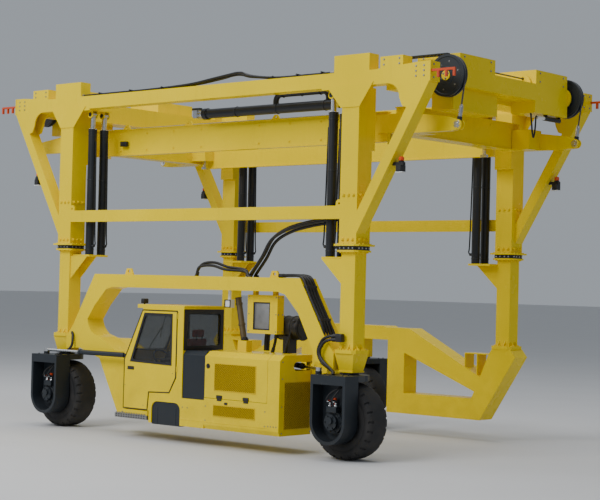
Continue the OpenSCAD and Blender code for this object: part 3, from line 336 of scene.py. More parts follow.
class Tree:
    """Adds nodes to a node tree and links them by socket."""

    def __init__(self, tree):
        self.tree = tree
        self.count = 0

    def add(self, kind, inputs=(), **settings):
        """Adds a node, sets its properties, and gives its inputs their values or links."""
        node = self.tree.nodes.new(kind)
        node.location = (180 * (self.count % 9), -220 * (self.count // 9))
        self.count += 1
        for key, value in settings.items():
            setattr(node, key, value)
        for key, value in dict(inputs).items():
            if isinstance(value, bpy.types.NodeSocket):
                self.tree.links.new(value, node.inputs[key])
            else:
                node.inputs[key].default_value = value
        return node

    def maths(self, operation, a, b=0.5, clamp=False):
        """One step of arithmetic on two values."""
        return self.add("ShaderNodeMath", {0: a, 1: b}, operation=operation,
                        use_clamp=clamp).outputs[0]

    def mix(self, factor, a, b, blend="MIX"):
        """Two colours mixed by a factor."""
        return self.add("ShaderNodeMix", {0: factor, 6: a, 7: b},
                        data_type="RGBA", blend_type=blend).outputs[2]

    def between(self, value, low, high, to_low=0.0, to_high=1.0):
        """A value's stretch from low to high, spread over another stretch."""
        return self.add("ShaderNodeMapRange", {
            "Value": value, "From Min": low, "From Max": high,
            "To Min": to_low, "To Max": to_high}).outputs[0]

    def noise(self, scale, detail=3.0, stretch=(1, 1, 1)):
        """Cloudy noise over the model, squeezed or drawn out along its axes."""
        place = self.add("ShaderNodeTexCoord").outputs["Object"]
        mapped = self.add("ShaderNodeMapping", {"Vector": place, "Scale": stretch}).outputs[0]
        return self.add("ShaderNodeTexNoise", {
            "Vector": mapped, "Scale": scale, "Detail": detail}).outputs[0]


def new_group(name, inputs, outputs):
    """An empty node group with named sockets."""
    tree = bpy.data.node_groups.new(name, "ShaderNodeTree")
    for label, kind, value in inputs:
        socket = tree.interface.new_socket(label, in_out="INPUT", socket_type=kind)
        socket.default_value = value
    for label, kind in outputs:
        tree.interface.new_socket(label, in_out="OUTPUT", socket_type=kind)
    build = Tree(tree)
    return build, build.add("NodeGroupInput").outputs


FLOAT, COLOUR = "NodeSocketFloat", "NodeSocketColor"


def make_weather_group():
    """Tone, streaks, low grime and small chips that all painted and moulded faces share."""
    build, given = new_group(
        "Weathered surface",
        [("Colour", COLOUR, (1, 1, 1, 1)), ("Grime Colour", COLOUR, (0.1, 0.08, 0.06, 1)),
         ("Grime", FLOAT, 0.3), ("Reach", FLOAT, 1.4), ("Chips", FLOAT, 0.3),
         ("Roughness", FLOAT, 0.4), ("Grain", FLOAT, 160.0)],
        [("Colour", COLOUR), ("Roughness", FLOAT), ("Height", FLOAT)])
    tone = build.between(build.noise(0.8), 0.3, 0.7, 0.0, 0.16)
    shade = build.mix(tone, given["Colour"], (0.30, 0.27, 0.24, 1), "MULTIPLY")
    streak = build.between(build.noise(1.0, 6.0, (8, 8, 0.7)), 0.58, 0.80)
    streak = build.maths("MULTIPLY", streak, 0.4)
    place = build.add("ShaderNodeTexCoord").outputs["Object"]
    height = build.add("ShaderNodeSeparateXYZ", {0: place}).outputs[2]
    low = build.between(build.maths("DIVIDE", height, given["Reach"]), 0.0, 1.0, 1.0, 0.0)
    low = build.maths("MULTIPLY", low, build.between(build.noise(5.0, 5.0), 0.35, 0.75))
    dirt = build.maths("MULTIPLY", build.maths("MAXIMUM", streak, low), given["Grime"], True)
    shade = build.mix(dirt, shade, given["Grime Colour"])
    chip = build.between(build.noise(38.0, 2.0), 0.735, 0.75)
    chip = build.maths("MULTIPLY", chip, given["Chips"], True)
    shade = build.mix(chip, shade, (0.13, 0.12, 0.11, 1))
    rough = build.maths("ADD", given["Roughness"], build.maths("MULTIPLY", dirt, 0.35))
    rough = build.maths("ADD", rough, build.between(build.noise(3.0), 0.3, 0.7, -0.05, 0.05))
    peel = build.add("ShaderNodeTexNoise", {
        "Vector": place, "Scale": given["Grain"], "Detail": 2.0}).outputs[0]
    bump = build.maths("SUBTRACT", peel, build.maths("MULTIPLY", chip, 0.6))
    build.add("NodeGroupOutput", {"Colour": shade, "Roughness": rough, "Height": bump})


def make_strand_group():
    """Slanting strands, for wire rope, with painted shade darkening the grooves between them."""
    build, given = new_group(
        "Laid strands",
        [("Colour", COLOUR, (1, 1, 1, 1)), ("Pitch", FLOAT, 60.0), ("Depth", FLOAT, 0.5)],
        [("Colour", COLOUR), ("Height", FLOAT)])
    place = build.add("ShaderNodeTexCoord").outputs["Object"]
    wave = build.add("ShaderNodeTexWave", {
        "Vector": place, "Scale": given["Pitch"], "Distortion": 0.4},
        wave_type="BANDS", bands_direction="DIAGONAL").outputs[1]
    # painted shade: the colour darkens towards black in the grooves between the strands
    dark = build.maths("MULTIPLY", build.maths("SUBTRACT", 1.0, wave), given["Depth"])
    shade = build.mix(dark, given["Colour"], (0.02, 0.02, 0.02, 1))
    build.add("NodeGroupOutput", {"Colour": shade, "Height": wave})


def make_brushed_group():
    """Fine drawn lines, for plated rods and for bare plate."""
    build, given = new_group(
        "Drawn metal", [("Colour", COLOUR, (1, 1, 1, 1)), ("Roughness", FLOAT, 0.2)],
        [("Colour", COLOUR), ("Roughness", FLOAT), ("Height", FLOAT)])
    line = build.noise(14.0, 5.0, (1, 1, 30))
    film = build.between(build.noise(7.0, 4.0), 0.45, 0.75, 0.0, 0.35)
    shade = build.mix(film, given["Colour"], (0.09, 0.075, 0.06, 1))
    rough = build.maths("ADD", given["Roughness"], build.maths("MULTIPLY", line, 0.22))
    build.add("NodeGroupOutput", {"Colour": shade, "Roughness": rough, "Height": line})


def make_cloth_group():
    """Over-and-under weave, for the seat's cloth, with painted shade where the threads dip."""
    build, given = new_group(
        "Woven cloth", [("Colour", COLOUR, (1, 1, 1, 1)), ("Threads", FLOAT, 220.0)],
        [("Colour", COLOUR), ("Height", FLOAT)])
    place = build.add("ShaderNodeTexCoord").outputs["Object"]
    warp, weft = [build.add("ShaderNodeTexWave", {"Vector": place, "Scale": given["Threads"]},
                            bands_direction=way).outputs[1] for way in ("X", "Z")]
    weave = build.maths("MULTIPLY", warp, weft)
    # painted shade: the colour darkens where the threads dip under each other
    shade = build.mix(build.between(weave, 0, 1, 0.35, 0.0), given["Colour"], (0.05, 0.01, 0.01, 1))
    build.add("NodeGroupOutput", {"Colour": shade, "Height": weave})


def new_finish(name, **plain):
    """A material with its shader, whose plain values sit on the shader's own sockets."""
    material = bpy.data.materials.new(f"{name}_finish")
    material.use_nodes = True
    build = Tree(material.node_tree)
    shader = material.node_tree.nodes["Principled BSDF"]
    for socket, value in plain.items():
        shader.inputs[socket.replace("_", " ")].default_value = value
    material.diffuse_color = (0.5, 0.5, 0.5, 1)
    return build, shader


def bumped(build, shader, height, strength, distance):
    """Feeds a height to the shader's normal."""
    normal = build.add("ShaderNodeBump", {
        "Height": height, "Strength": strength, "Distance": distance}).outputs[0]
    build.tree.links.new(normal, shader.inputs["Normal"])


def weathered(name, colour, rough, grime=0.0, reach=1.4, chips=0.0, grain=160.0, bump=0.15,
              dust=(0.10, 0.075, 0.05, 1), **plain):
    """A painted, moulded or rubber finish."""
    build, shader = new_finish(name, **plain)
    node = build.add("ShaderNodeGroup", node_tree=bpy.data.node_groups["Weathered surface"])
    values = {"Colour": (*colour, 1), "Grime Colour": dust, "Grime": grime, "Reach": reach,
              "Chips": chips, "Roughness": rough, "Grain": grain}
    for label, value in values.items():
        node.inputs[label].default_value = value
    build.tree.links.new(node.outputs["Colour"], shader.inputs["Base Color"])
    build.tree.links.new(node.outputs["Roughness"], shader.inputs["Roughness"])
    bumped(build, shader, node.outputs["Height"], bump, 0.002)


def patterned(name, group, values, bump, distance, **plain):
    """A finish whose colour and height come from one of the pattern groups."""
    build, shader = new_finish(name, **plain)
    node = build.add("ShaderNodeGroup", node_tree=bpy.data.node_groups[group])
    for label, value in values.items():
        node.inputs[label].default_value = value
    build.tree.links.new(node.outputs["Colour"], shader.inputs["Base Color"])
    if "Roughness" in node.outputs:
        build.tree.links.new(node.outputs["Roughness"], shader.inputs["Roughness"])
    bumped(build, shader, node.outputs["Height"], bump, distance)


class CARRIER_OT_finishes(bpy.types.Operator):
    """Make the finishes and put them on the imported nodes"""

    bl_idname = "carrier.finishes"
    bl_label = "Finishes"

    def execute(self, context):
        paint = context.scene.carrier_paint
        make_weather_group()
        make_strand_group()
        make_brushed_group()
        make_cloth_group()
        self.paints(paint)
        self.dark_finishes()
        patterned("rope", "Laid strands", {
            "Colour": (0.16, 0.155, 0.15, 1), "Pitch": 55.0, "Depth": 0.75},
            bump=0.8, distance=0.004, Metallic=0.8, Roughness=0.45)
        patterned("bright_rod", "Drawn metal", {
            "Colour": (0.62, 0.63, 0.64, 1), "Roughness": 0.10},
            bump=0.04, distance=0.001, Metallic=1.0)
        patterned("tread_plate", "Drawn metal", {
            "Colour": (0.30, 0.30, 0.30, 1), "Roughness": 0.38},
            bump=0.25, distance=0.002, Metallic=0.85)
        patterned("seat_fabric", "Woven cloth", {
            "Colour": (*paint.seat, 1), "Threads": 220.0},
            bump=0.5, distance=0.001, Roughness=0.9, Sheen_Weight=0.3)
        self.lens("amber_lens", (0.95, 0.10, 0.008, 1), clear=0.25, rough=0.10, haze=0.1)
        self.lens("lamp", (0.85, 0.87, 0.88, 1), clear=0.05, rough=0.08, haze=0.1)
        self.lens("glass", (0.46, 0.47, 0.46, 1), clear=0.97, rough=0.0, haze=0.01)
        own = {"brace_lamps": "black_plastic"}
        for part in frame["record"]["subparts"]:
            data = frame["nodes"][part["node"]].data
            data.materials.clear()
            finish = own.get(part["node"], part["material_slot"])
            data.materials.append(bpy.data.materials[f"{finish}_finish"])
        return {"FINISHED"}

    @staticmethod
    def paints(paint):
        """The paints of the frames, grilles, forks, cylinders, hooks and rims, and the painted shade
        behind the grilles.
        """
        ochre = (0.24, 0.14, 0.02, 1)
        yellows = {"grime": paint.grime, "reach": 1.5, "dust": ochre}
        weathered("yellow_paint", tuple(paint.yellow), rough=0.25, chips=0.06, **yellows,
                  Specular_IOR_Level=0.2)
        weathered("grille_paint", (0.72, 0.50, 0.0), rough=0.35, **yellows,
                  Specular_IOR_Level=0.3)
        # grille_shadow is painted shade: a dark yellow standing for the shade behind the grilles' mesh
        weathered("grille_shadow", (0.22, 0.14, 0.0), rough=0.7, **yellows,
                  Specular_IOR_Level=0.2)
        weathered("dark_paint", tuple(paint.dark), rough=0.40, grime=0.5 * paint.grime,
                  reach=1.2, chips=0.3, Specular_IOR_Level=0.35)
        weathered("cylinder_paint", (0.014, 0.016, 0.019), rough=0.34, grime=0.1, reach=2.0,
                  chips=0.3, Specular_IOR_Level=0.4)
        weathered("orange_paint", tuple(paint.hook), rough=0.38, grime=0.15, reach=6.0, chips=0.6)
        weathered("rim", (0.03, 0.034, 0.04), rough=0.45, grime=0.6, reach=1.1, chips=0.3)

    @staticmethod
    def dark_finishes():
        """Rubber, plastic, the engine's black paint and the exhaust's scorched steel."""
        weathered("exhaust_steel", (0.15, 0.115, 0.062), rough=0.5, grime=0.3, reach=3.0,
                  Metallic=0.5)
        weathered("black_plastic", (0.012, 0.012, 0.013), rough=0.48, grime=0.2, reach=2.0,
                  grain=420.0, bump=0.25)
        weathered("tyre", (0.013, 0.013, 0.014), rough=0.74, grime=0.75, reach=1.05, grain=90.0,
                  bump=0.5, dust=(0.075, 0.068, 0.06, 1))
        weathered("engine_black", (0.010, 0.010, 0.011), rough=0.5, grime=0.15, reach=2.6,
                  chips=0.2, grain=120.0, bump=0.4)
        weathered("hose", (0.008, 0.008, 0.009), rough=0.42, grime=0.06, reach=3.0, grain=600.0,
                  bump=0.3)

    @staticmethod
    def lens(name, colour, clear, rough, haze):
        """Glass or a clear plastic lens, with a film of dust in its roughness."""
        build, shader = new_finish(name, Transmission_Weight=clear, IOR=1.45)
        film = build.between(build.noise(5.0, 5.0), 0.35, 0.75, rough, rough + haze)
        shade = build.mix(build.between(build.noise(2.0), 0.35, 0.75, 0.0, haze), colour,
                          (0.5, 0.47, 0.42, 1))
        build.tree.links.new(film, shader.inputs["Roughness"])
        build.tree.links.new(shade, shader.inputs["Base Color"])


class CARRIER_OT_stage(bpy.types.Operator):
    """Set up the camera at the photo's view, the pale floor and the soft light"""

    bl_idname = "carrier.stage"
    bl_label = "Stage"

    def execute(self, context):
        self.camera(context)
        self.floor()
        self.light(context)
        return {"FINISHED"}

    @staticmethod
    def camera(context):
        """The camera at the photo's place, turned by its yaw, pitch and roll."""
        level = math.cos(CAMERA_PITCH)
        ahead = Vector((math.cos(CAMERA_YAW) * level, math.sin(CAMERA_YAW) * level,
                        math.sin(CAMERA_PITCH)))
        right = ahead.cross(Z).normalized()
        up = right.cross(ahead)
        turned = math.cos(CAMERA_ROLL) * right + math.sin(CAMERA_ROLL) * up
        over = math.cos(CAMERA_ROLL) * up - math.sin(CAMERA_ROLL) * right
        view = Matrix((turned, over, -ahead)).transposed().to_4x4()
        bpy.ops.object.camera_add()
        camera = bpy.context.active_object
        camera.name = "photo_camera"
        camera.matrix_world = Matrix.Translation(CAMERA_PLACE) @ view
        camera.data.sensor_width = CAMERA_SENSOR
        camera.data.lens = CAMERA_LENS
        camera.data.clip_end = 500
        context.scene.camera = camera

    @staticmethod
    def floor():
        """A wide pale floor."""
        bpy.ops.object.select_all(action="DESELECT")
        bpy.ops.mesh.primitive_plane_add(size=400)
        floor = bpy.context.active_object
        floor.name = "floor"
        build, shader = new_finish("floor_grey", Specular_IOR_Level=0.2)
        shade = build.mix(build.between(build.noise(0.6, 6.0), 0.3, 0.7),
                          (0.60, 0.60, 0.605, 1), (0.62, 0.62, 0.625, 1))
        build.tree.links.new(shade, shader.inputs["Base Color"])
        shader.inputs["Roughness"].default_value = 0.8
        floor.data.materials.append(bpy.data.materials["floor_grey_finish"])

    @staticmethod
    def light(context):
        """A pale sky, and three large soft lamps aimed at the machine."""
        world = bpy.data.worlds.new("studio")
        world.use_nodes = True
        sky = world.node_tree.nodes["Background"]
        sky.inputs["Color"].default_value = (0.80, 0.87, 0.95, 1)
        sky.inputs["Strength"].default_value = 0.42
        context.scene.world = world
        lights = [("key", (1, 17, 14), 9, 2400), ("sky_fill", (0, 0, 17), 16, 1600),
                  ("nose_fill", (17, 5, 9), 10, 400)]
        middle = Vector((0, 0, 2.2))
        for name, place, size, power in lights:
            bpy.ops.object.light_add(type="AREA", location=place)
            light = bpy.context.active_object
            light.name = name
            light.data.size, light.data.energy = size, power
            aim = middle - Vector(place)
            light.rotation_euler = aim.to_track_quat("-Z", "Y").to_euler()


# Wheels

class CARRIER_OT_tyres(bpy.types.Operator):
    """Spin the tyres from their section and press the shoulder notches in"""

    bl_idname = "carrier.tyres"
    bl_label = "Tyres"

    # Half section: across the wheel from its middle, and out from the axle
    section = [(0.0, 0.5195), (0.07, 0.519), (0.12, 0.516), (0.158, 0.507), (0.185, 0.488),
               (0.198, 0.462), (0.1995, 0.43), (0.197, 0.405), (0.191, 0.398), (0.196, 0.388),
               (0.198, 0.345), (0.190, 0.312), (0.175, 0.2905)]

    def execute(self, context):
        parts = context.scene.carrier_parts
        steps = 3 * parts.notches
        loop = self.section + [(-across, out) for across, out in reversed(self.section[1:])]
        for name, (x, y, _) in WHEELS.items():
            bpy.ops.object.select_all(action="DESELECT")
            bpy.ops.mesh.primitive_circle_add(vertices=len(loop), radius=1, fill_type="NOTHING")
            obj = bpy.context.active_object
            for vertex, (across, out) in zip(obj.data.vertices, loop):
                vertex.co = (0, across, out)
            bpy.ops.object.mode_set(mode="EDIT")
            bpy.ops.mesh.select_all(action="SELECT")
            bpy.ops.mesh.spin(steps=steps, angle=2 * math.pi, center=(0, 0, 0), axis=(0, 1, 0))
            bpy.ops.mesh.select_all(action="SELECT")
            bpy.ops.mesh.remove_doubles(threshold=0.0002)
            bpy.ops.mesh.normals_make_consistent(inside=False)
            self.press(obj, steps, parts.notch_depth)
            bpy.ops.object.mode_set(mode="OBJECT")
            soften(obj, 0.0025, 1, 50)
            obj.location = (x, y, AXLE_Z)
            keep(obj, f"tread_{name}", f"wheel_{name}", "tyre", [f"tyre_{name}"], 40)
        return {"FINISHED"}

    @staticmethod
    def press(obj, steps, depth):
        """Sinks every third face of both shoulders, the two sides in turn."""
        inner_edge, outer_edge, tread_radius = 0.125, 0.193, 0.47
        bm = bmesh.from_edit_mesh(obj.data)
        for face in bm.faces:
            centre = face.calc_center_median()
            turn = (math.atan2(centre.x, centre.z) / (2 * math.pi)) % 1.0
            in_turn = int(turn * steps) % 3 == (0 if centre.y > 0 else 1)
            on_shoulder = (inner_edge < abs(centre.y) < outer_edge
                           and math.hypot(centre.x, centre.z) > tread_radius)
            face.select_set(on_shoulder and in_turn)
        bmesh.update_edit_mesh(obj.data)
        bpy.ops.mesh.inset(thickness=0.005, depth=0)
        bpy.ops.mesh.inset(thickness=0.004, depth=-depth)


class CARRIER_OT_wheel_fittings(bpy.types.Operator):
    """Add wheel nuts, motor bolts, oil fittings and the hoses in the forks"""

    bl_idname = "carrier.wheel_fittings"
    bl_label = "Wheel fittings"

    def execute(self, context):
        # From the wheel's middle: inwards, outwards to the motor, and up to the fork's plate
        disc_face, hub_face, flange_face, cover_face, plate_height = 0.041, 0.09, 0.360, 0.420, 0.62
        for name, (x, y, side) in WHEELS.items():
            out = side * Y
            hub = Vector((x, y, AXLE_Z))
            nuts = circle(hub - disc_face * out, -out, 0.2, 10)
            nuts += circle(hub - hub_face * out, -out, 0.105, 6)
            keep(scatter(bolt(0.014, 0.018), nuts), f"wheel_nuts_{name}", f"wheel_{name}", "rim")
            heads = circle(hub + flange_face * out, out, 0.130, 10)
            heads += circle(hub + cover_face * out, out, 0.087, 6)
            plate_top = hub + plate_height * Z
            heads += [(plate_top + Vector((dx, side * dy, 0)), Z)
                      for dx in (-0.2, 0.2) for dy in (0.30, 0.42)]
            keep(scatter(bolt(0.011, 0.012), heads), f"motor_bolts_{name}", f"fork_{name}",
                 "dark_paint")
            self.motor(name, hub, out)
        return {"FINISHED"}

    @staticmethod
    def motor(name, hub, out):
        """The wheel motor's flanges, and its port block with elbows, hoses and a breather."""
        body = f"fork_{name}"
        block = hub + 0.36 * out + Vector((0, 0, 0.17))
        parts = [box(block - Vector((0.085, 0.045, 0.04)), block + Vector((0.085, 0.045, 0.035))),
                 rod(hub + 0.27 * out, hub + 0.30 * out, 0.168, 40),
                 ring(hub + 0.363 * out, out, 0.105, 0.008)]
        keep(join(parts), f"motor_block_{name}", body, "dark_paint")
        elbows, hoses = [], []
        for dx, reach in ((0.055, 0.16), (-0.045, 0.10)):
            foot = block + Vector((dx, 0, 0.03))
            end = foot + 0.085 * Z + 0.06 * out
            elbows.append(rod(foot, foot + 0.026 * Z, 0.031, 6))
            elbows.append(tube([foot + 0.02 * Z, foot + 0.06 * Z, foot + 0.08 * Z + 0.025 * out,
                                end], 0.018))
            hoses.append(tube([end, end + 0.02 * out + 0.02 * Z, end + Vector((-0.05, 0, 0.10)),
                               end + Vector((-reach, 0, 0.17)) - 0.03 * out,
                               end + Vector((-reach - 0.02, 0, 0.225)) - 0.08 * out], 0.011))
        keep(join(elbows), f"motor_elbows_{name}", body, "bright_rod")
        keep(join(hoses), f"motor_hoses_{name}", body, "hose", smooth=60)
        foot = block + Vector((0, 0, 0.03)) - 0.035 * out
        breather = [rod(foot, foot + 0.09 * Z, 0.012), rod(foot + 0.08 * Z, foot + 0.12 * Z, 0.026, 12)]
        keep(join(breather), f"breather_{name}", body, "orange_paint")


# Bolts

def column_faces(z, reach, offsets):
    """Spots on the four faces of each column at a height, facing outwards."""
    spots = []
    for sx, sy in QUARTERS:
        for face in (X, -X, Y, -Y):
            along = Z.cross(face)
            for offset in offsets:
                spots.append((Vector((sx * COL_X, sy * COL_Y, z)) + reach * face
                              + offset * along, face))
    return spots


def facing(spots, axis):
    """The same spots, all facing along one axis."""
    return [(point, axis) for point, _ in spots]


class CARRIER_OT_bolts(bpy.types.Operator):
    """Add the bolts of the columns, rails, sheaves and spreader"""

    bl_idname = "carrier.bolts"
    bl_label = "Bolts"

    def execute(self, context):
        self.columns(context.scene.carrier_parts.bolt)
        self.rails()
        self.sheaves()
        self.spreader()
        return {"FINISHED"}

    @staticmethod
    def columns(head):
        """Bolts of the sleeves' wear pads and rings, the column feet and the stop pads."""
        spots = [spot for z in (2.955, 3.55) for spot in column_faces(z, 0.162, (-0.085, 0, 0.085))]
        keep(scatter(bolt(head, 0.013), spots), "wear_pad_bolts", "upper_frame", "yellow_paint")
        spots = facing(column_faces(2.89, 0.188, (-0.12, -0.04, 0.04, 0.12)), Z)
        keep(scatter(bolt(0.012, 0.012), spots), "ring_bolts", "upper_frame", "yellow_paint")
        spots = facing(column_faces(1.475, 0.152, (-0.095, -0.025, 0.025, 0.095)), Z)
        spots += facing(column_faces(2.785, 0.155, (-0.1, 0, 0.1)), -Z)
        keep(scatter(bolt(0.0135, 0.014), spots), "flange_bolts", "chassis", "yellow_paint")
        spots = column_faces(2.8375, 0.170, (-0.11, -0.04, 0.04, 0.11))
        keep(scatter(bolt(0.010, 0.008), spots), "pad_screws", "chassis", "bright_rod")

    @staticmethod
    def rails():
        """Bolts of the top rails' ends and joints, and of the sheave boxes."""
        spots = []
        for sx, sy in QUARTERS:
            spots += [((sx * x, sy * RAIL_FACE, z), sy * Y)
                      for x in (3.985, 4.113) for z in (5.075, 5.14, 5.205)]
            spots += [((sx * (RAIL_X + 0.02), sy * (COL_Y + dy), z), sx * X)
                      for dy in (-0.08, 0.08) for z in (5.05, 5.22)]
            spots += [((sx * x, sy * RAIL_FACE, z), sy * Y)
                      for x in (3.455, 3.71) for z in (5.26, 5.33)]
            spots += circle((sx * SHEAVE_X, sy * 1.389, SHEAVE_Z), sy * Y, 0.125, 8, 0.2)
            spots += circle((sx * SHEAVE_X, sy * 1.527, SHEAVE_Z), sy * Y, 0.045, 3, 0.5)
            spots += [((sx * x, sy * 1.345, z), sy * Y) for x in (3.6, 3.85) for z in (5.32, 5.41)]
            spots += [((sx * RAIL_X, sy * y, z), sx * X) for y in (0.62, 1.24) for z in (5.29, 5.41)]
        keep(scatter(bolt(0.011, 0.009), spots), "rail_bolts", "upper_frame", "tread_plate")

    @staticmethod
    def sheaves():
        """Six screws in the outer face of each sheave."""
        for end, sx in (("front", 1), ("rear", -1)):
            for hand, sy in (("left", 1), ("right", -1)):
                spots = circle((sx * SHEAVE_X, sy * 1.507, SHEAVE_Z), sy * Y, 0.19, 6, 0.3)
                keep(scatter(bolt(0.009, 0.007), spots), f"sheave_screws_{end}_{hand}",
                     f"sheave_{end}_{hand}", "tread_plate")

    @staticmethod
    def spreader():
        """Bolts along the spreader's beams and round the pins of its lugs."""
        spots = []
        for sx in ENDS:
            spots += [((sx * x, sy * 1.335, z), sy * Y) for sy in ENDS
                      for x in (0.6, 1.2, 1.8, 2.4) for z in (4.4, 4.66)]
            spots += [((sx * 3.39, y, z), sx * X) for y in (-1.1, -0.6, 0, 0.6, 1.1)
                      for z in (4.47, 4.72)]
            for sy in ENDS:
                spots += circle((sx * LUG_X, sy * (LUG_Y + 0.049), LUG_Z), sy * Y, 0.046, 4)
        keep(scatter(bolt(0.010, 0.008), spots), "spreader_bolts", "spreader", "yellow_paint")


# Cab

# The raked front, from its foot up to the roof
FRONT_FOOT_X, FRONT_FOOT_Z, FRONT_TOP_X, FRONT_TOP_Z = 1.060, 1.160, 0.670, 1.930
FRONT_RUN = (FRONT_FOOT_X - FRONT_TOP_X) / (FRONT_TOP_Z - FRONT_FOOT_Z)


def cab_front(z, depth=0.0):
    """Where the cab's raked front stands at a height, or a plane inside it by a depth."""
    return FRONT_FOOT_X - (z - FRONT_FOOT_Z) * FRONT_RUN - depth * math.hypot(1, FRONT_RUN)


class CARRIER_OT_cab_trim(bpy.types.Operator):
    """Add the cab's seals, window rubbers, handle, gutter, wiper and inside fittings"""

    bl_idname = "carrier.cab_trim"
    bl_label = "Cab trim"

    def execute(self, context):
        self.door()
        self.shell()
        self.inside()
        return {"FINISHED"}

    @staticmethod
    def door():
        """What rides on the door: window rubber, hinges, handle, edge strip and screws."""
        side = in_plane((0, 2.350, 0), X, Z)
        pane = [(0.045, 1.862), (0.640, 1.862), (0.930, 1.130), (0.045, 1.110)]
        keep(gasket(pane, 0.036, 0.075, 0.026, side), "door_window_rubber", "cab_door",
             "black_plastic")
        knuckles = [rod((-0.058, 2.352, z), (-0.058, 2.352, z + 0.075), 0.012) for z in (1.03, 1.79)]
        knuckles += [box((-0.045, 2.355, z), (0.0, 2.3635, z + 0.06), 0.003) for z in (1.035, 1.80)]
        keep(join(knuckles), "door_hinges", "cab_door", "yellow_paint")
        handle = [box((0.835, 2.358, 1.012), (0.975, 2.364, 1.062), 0.002),
                  rod((0.955, 2.362, 1.04), (0.955, 2.369, 1.04), 0.016),
                  tube([(0.955, 2.367, 1.042), (0.90, 2.369, 1.036), (0.845, 2.367, 1.024)], 0.008)]
        keep(join(handle), "door_handle", "cab_door", "black_plastic")
        rim = [(-0.044, 1.899), (0.678, 1.899), (1.048, 1.162), (1.048, 0.442), (0.536, 0.442),
               (0.511, 0.706), (0.084, 0.721), (-0.044, 0.949)]
        line = [(x, 2.358, z) for x, z in rim]
        keep(tube(line, 0.0095, closed=True, steps=0), "door_edge_strip", "cab_door", "black_plastic")
        spots = [((x, SIDE_Y, z), Y) for x, z in ((0.62, 0.50), (1.02, 0.78), (0.02, 1.0))]
        keep(scatter(bolt(0.007, 0.005, False), spots), "door_screws", "cab_door", "tread_plate")

    @staticmethod
    def shell():
        """What is fixed on the cab: seal, window rubbers, wiper, gutter, roof lamp and sill."""
        seal = [(-0.0565, 1.909), (0.681, 1.909), (1.058, 1.16), (1.058, 0.432), (0.527, 0.432),
                (0.502, 0.697), (0.077, 0.712), (-0.0565, 0.943)]
        line = [(x, 2.345, z) for x, z in seal]
        parts = [tube(line, 0.004, closed=True, steps=0)]
        inner = in_plane((0, 1.530, 0), X, Z)
        parts.append(gasket([(-0.10, 1.15), (0.56, 1.15), (0.56, 1.87), (-0.10, 1.87)],
                            0.025, 0.05, 0.024, inner))
        rear = in_plane((-0.170, 0, 0), Y, Z)
        parts.append(gasket([(1.535, 1.345), (2.350, 1.345), (2.350, 1.935), (1.535, 1.935)],
                            0.062, 0.05, 0.032, rear))
        low, high = 1.29, 1.87
        slope = Vector((cab_front(high) - cab_front(low), 0, high - low))
        screen = in_plane((cab_front(low, 0.010), 0, low), Y, slope)
        parts.append(gasket([(1.58, 0), (2.29, 0), (2.29, slope.length), (1.58, slope.length)],
                            0.025, 0.05, 0.024, screen))
        keep(join(parts), "cab_rubbers", "chassis", "black_plastic")
        foot = Vector((cab_front(1.25) + 0.012, 1.93, 1.25))
        tip = Vector((cab_front(1.66) + 0.02, 1.80, 1.66))
        blade = Vector((-0.09, 0.03, 0.18))
        wiper = [rod(foot - 0.02 * X, foot + 0.014 * X, 0.02),
                 tube([foot, (foot + tip) / 2 + 0.012 * X, tip], 0.007),
                 rod(tip - blade, tip + blade, 0.006, 8)]
        keep(join(wiper), "screen_wiper", "chassis", "black_plastic")
        gutter = [(-0.186, 2.352, 1.975), (0.60, 2.352, 1.975), (0.786, 2.352, 1.975),
                  (0.786, 1.528, 1.975), (-0.186, 1.528, 1.975)]
        keep(tube(gutter, 0.010, closed=True, steps=0), "roof_gutter", "chassis", "yellow_paint")
        lamp = [box((0.69, 2.235, 1.995), (0.76, 2.335, 2.068), 0.012, 3),
                rod((0.725, 2.285, 1.978), (0.725, 2.285, 2.0), 0.012)]
        keep(join(lamp), "roof_lamp", "chassis", "black_plastic")
        keep(box((0.754, 2.243, 2.003), (0.766, 2.327, 2.060), 0.004), "roof_lamp_lens", "chassis",
             "lamp")
        keep(box((0.532, 2.30, 0.352), (1.058, 2.350, 0.424), 0.004), "door_sill", "chassis",
             "yellow_paint")

    @staticmethod
    def inside():
        """Mat, linings, steering wheel on its column, armrest with a lever, and two pedals."""
        mat = [box((0.0, 1.57, 0.701), (1.0, 2.30, 0.716), 0.004)]
        linings = [box((-0.135, 1.57, 0.75), (-0.115, 2.30, 1.36), 0.006),
                   box((0.0, 1.57, 1.885), (0.60, 2.30, 1.905), 0.006)]
        steering = [tube([(0.86, 1.90, 0.72), (0.80, 1.90, 0.95), (0.70, 1.90, 1.16)], 0.032),
                    ring((0.69, 1.90, 1.17), (-0.75, 0, 0.66), 0.17, 0.014),
                    rod((0.69, 1.75, 1.17), (0.69, 2.05, 1.17), 0.012)]
        armrest = [box((0.12, 1.60, 1.20), (0.46, 1.68, 1.25), 0.012, 3),
                   rod((0.40, 1.64, 1.24), (0.41, 1.64, 1.36), 0.013),
                   box((0.385, 1.62, 1.35), (0.435, 1.66, 1.43), 0.016, 3)]
        pedals = [box((0.86, y, 0.72), (0.95, y + 0.08, 0.80), 0.01) for y in (1.74, 1.98)]
        keep(join(mat + linings + steering + armrest + pedals), "cab_fittings", "chassis",
             "black_plastic")


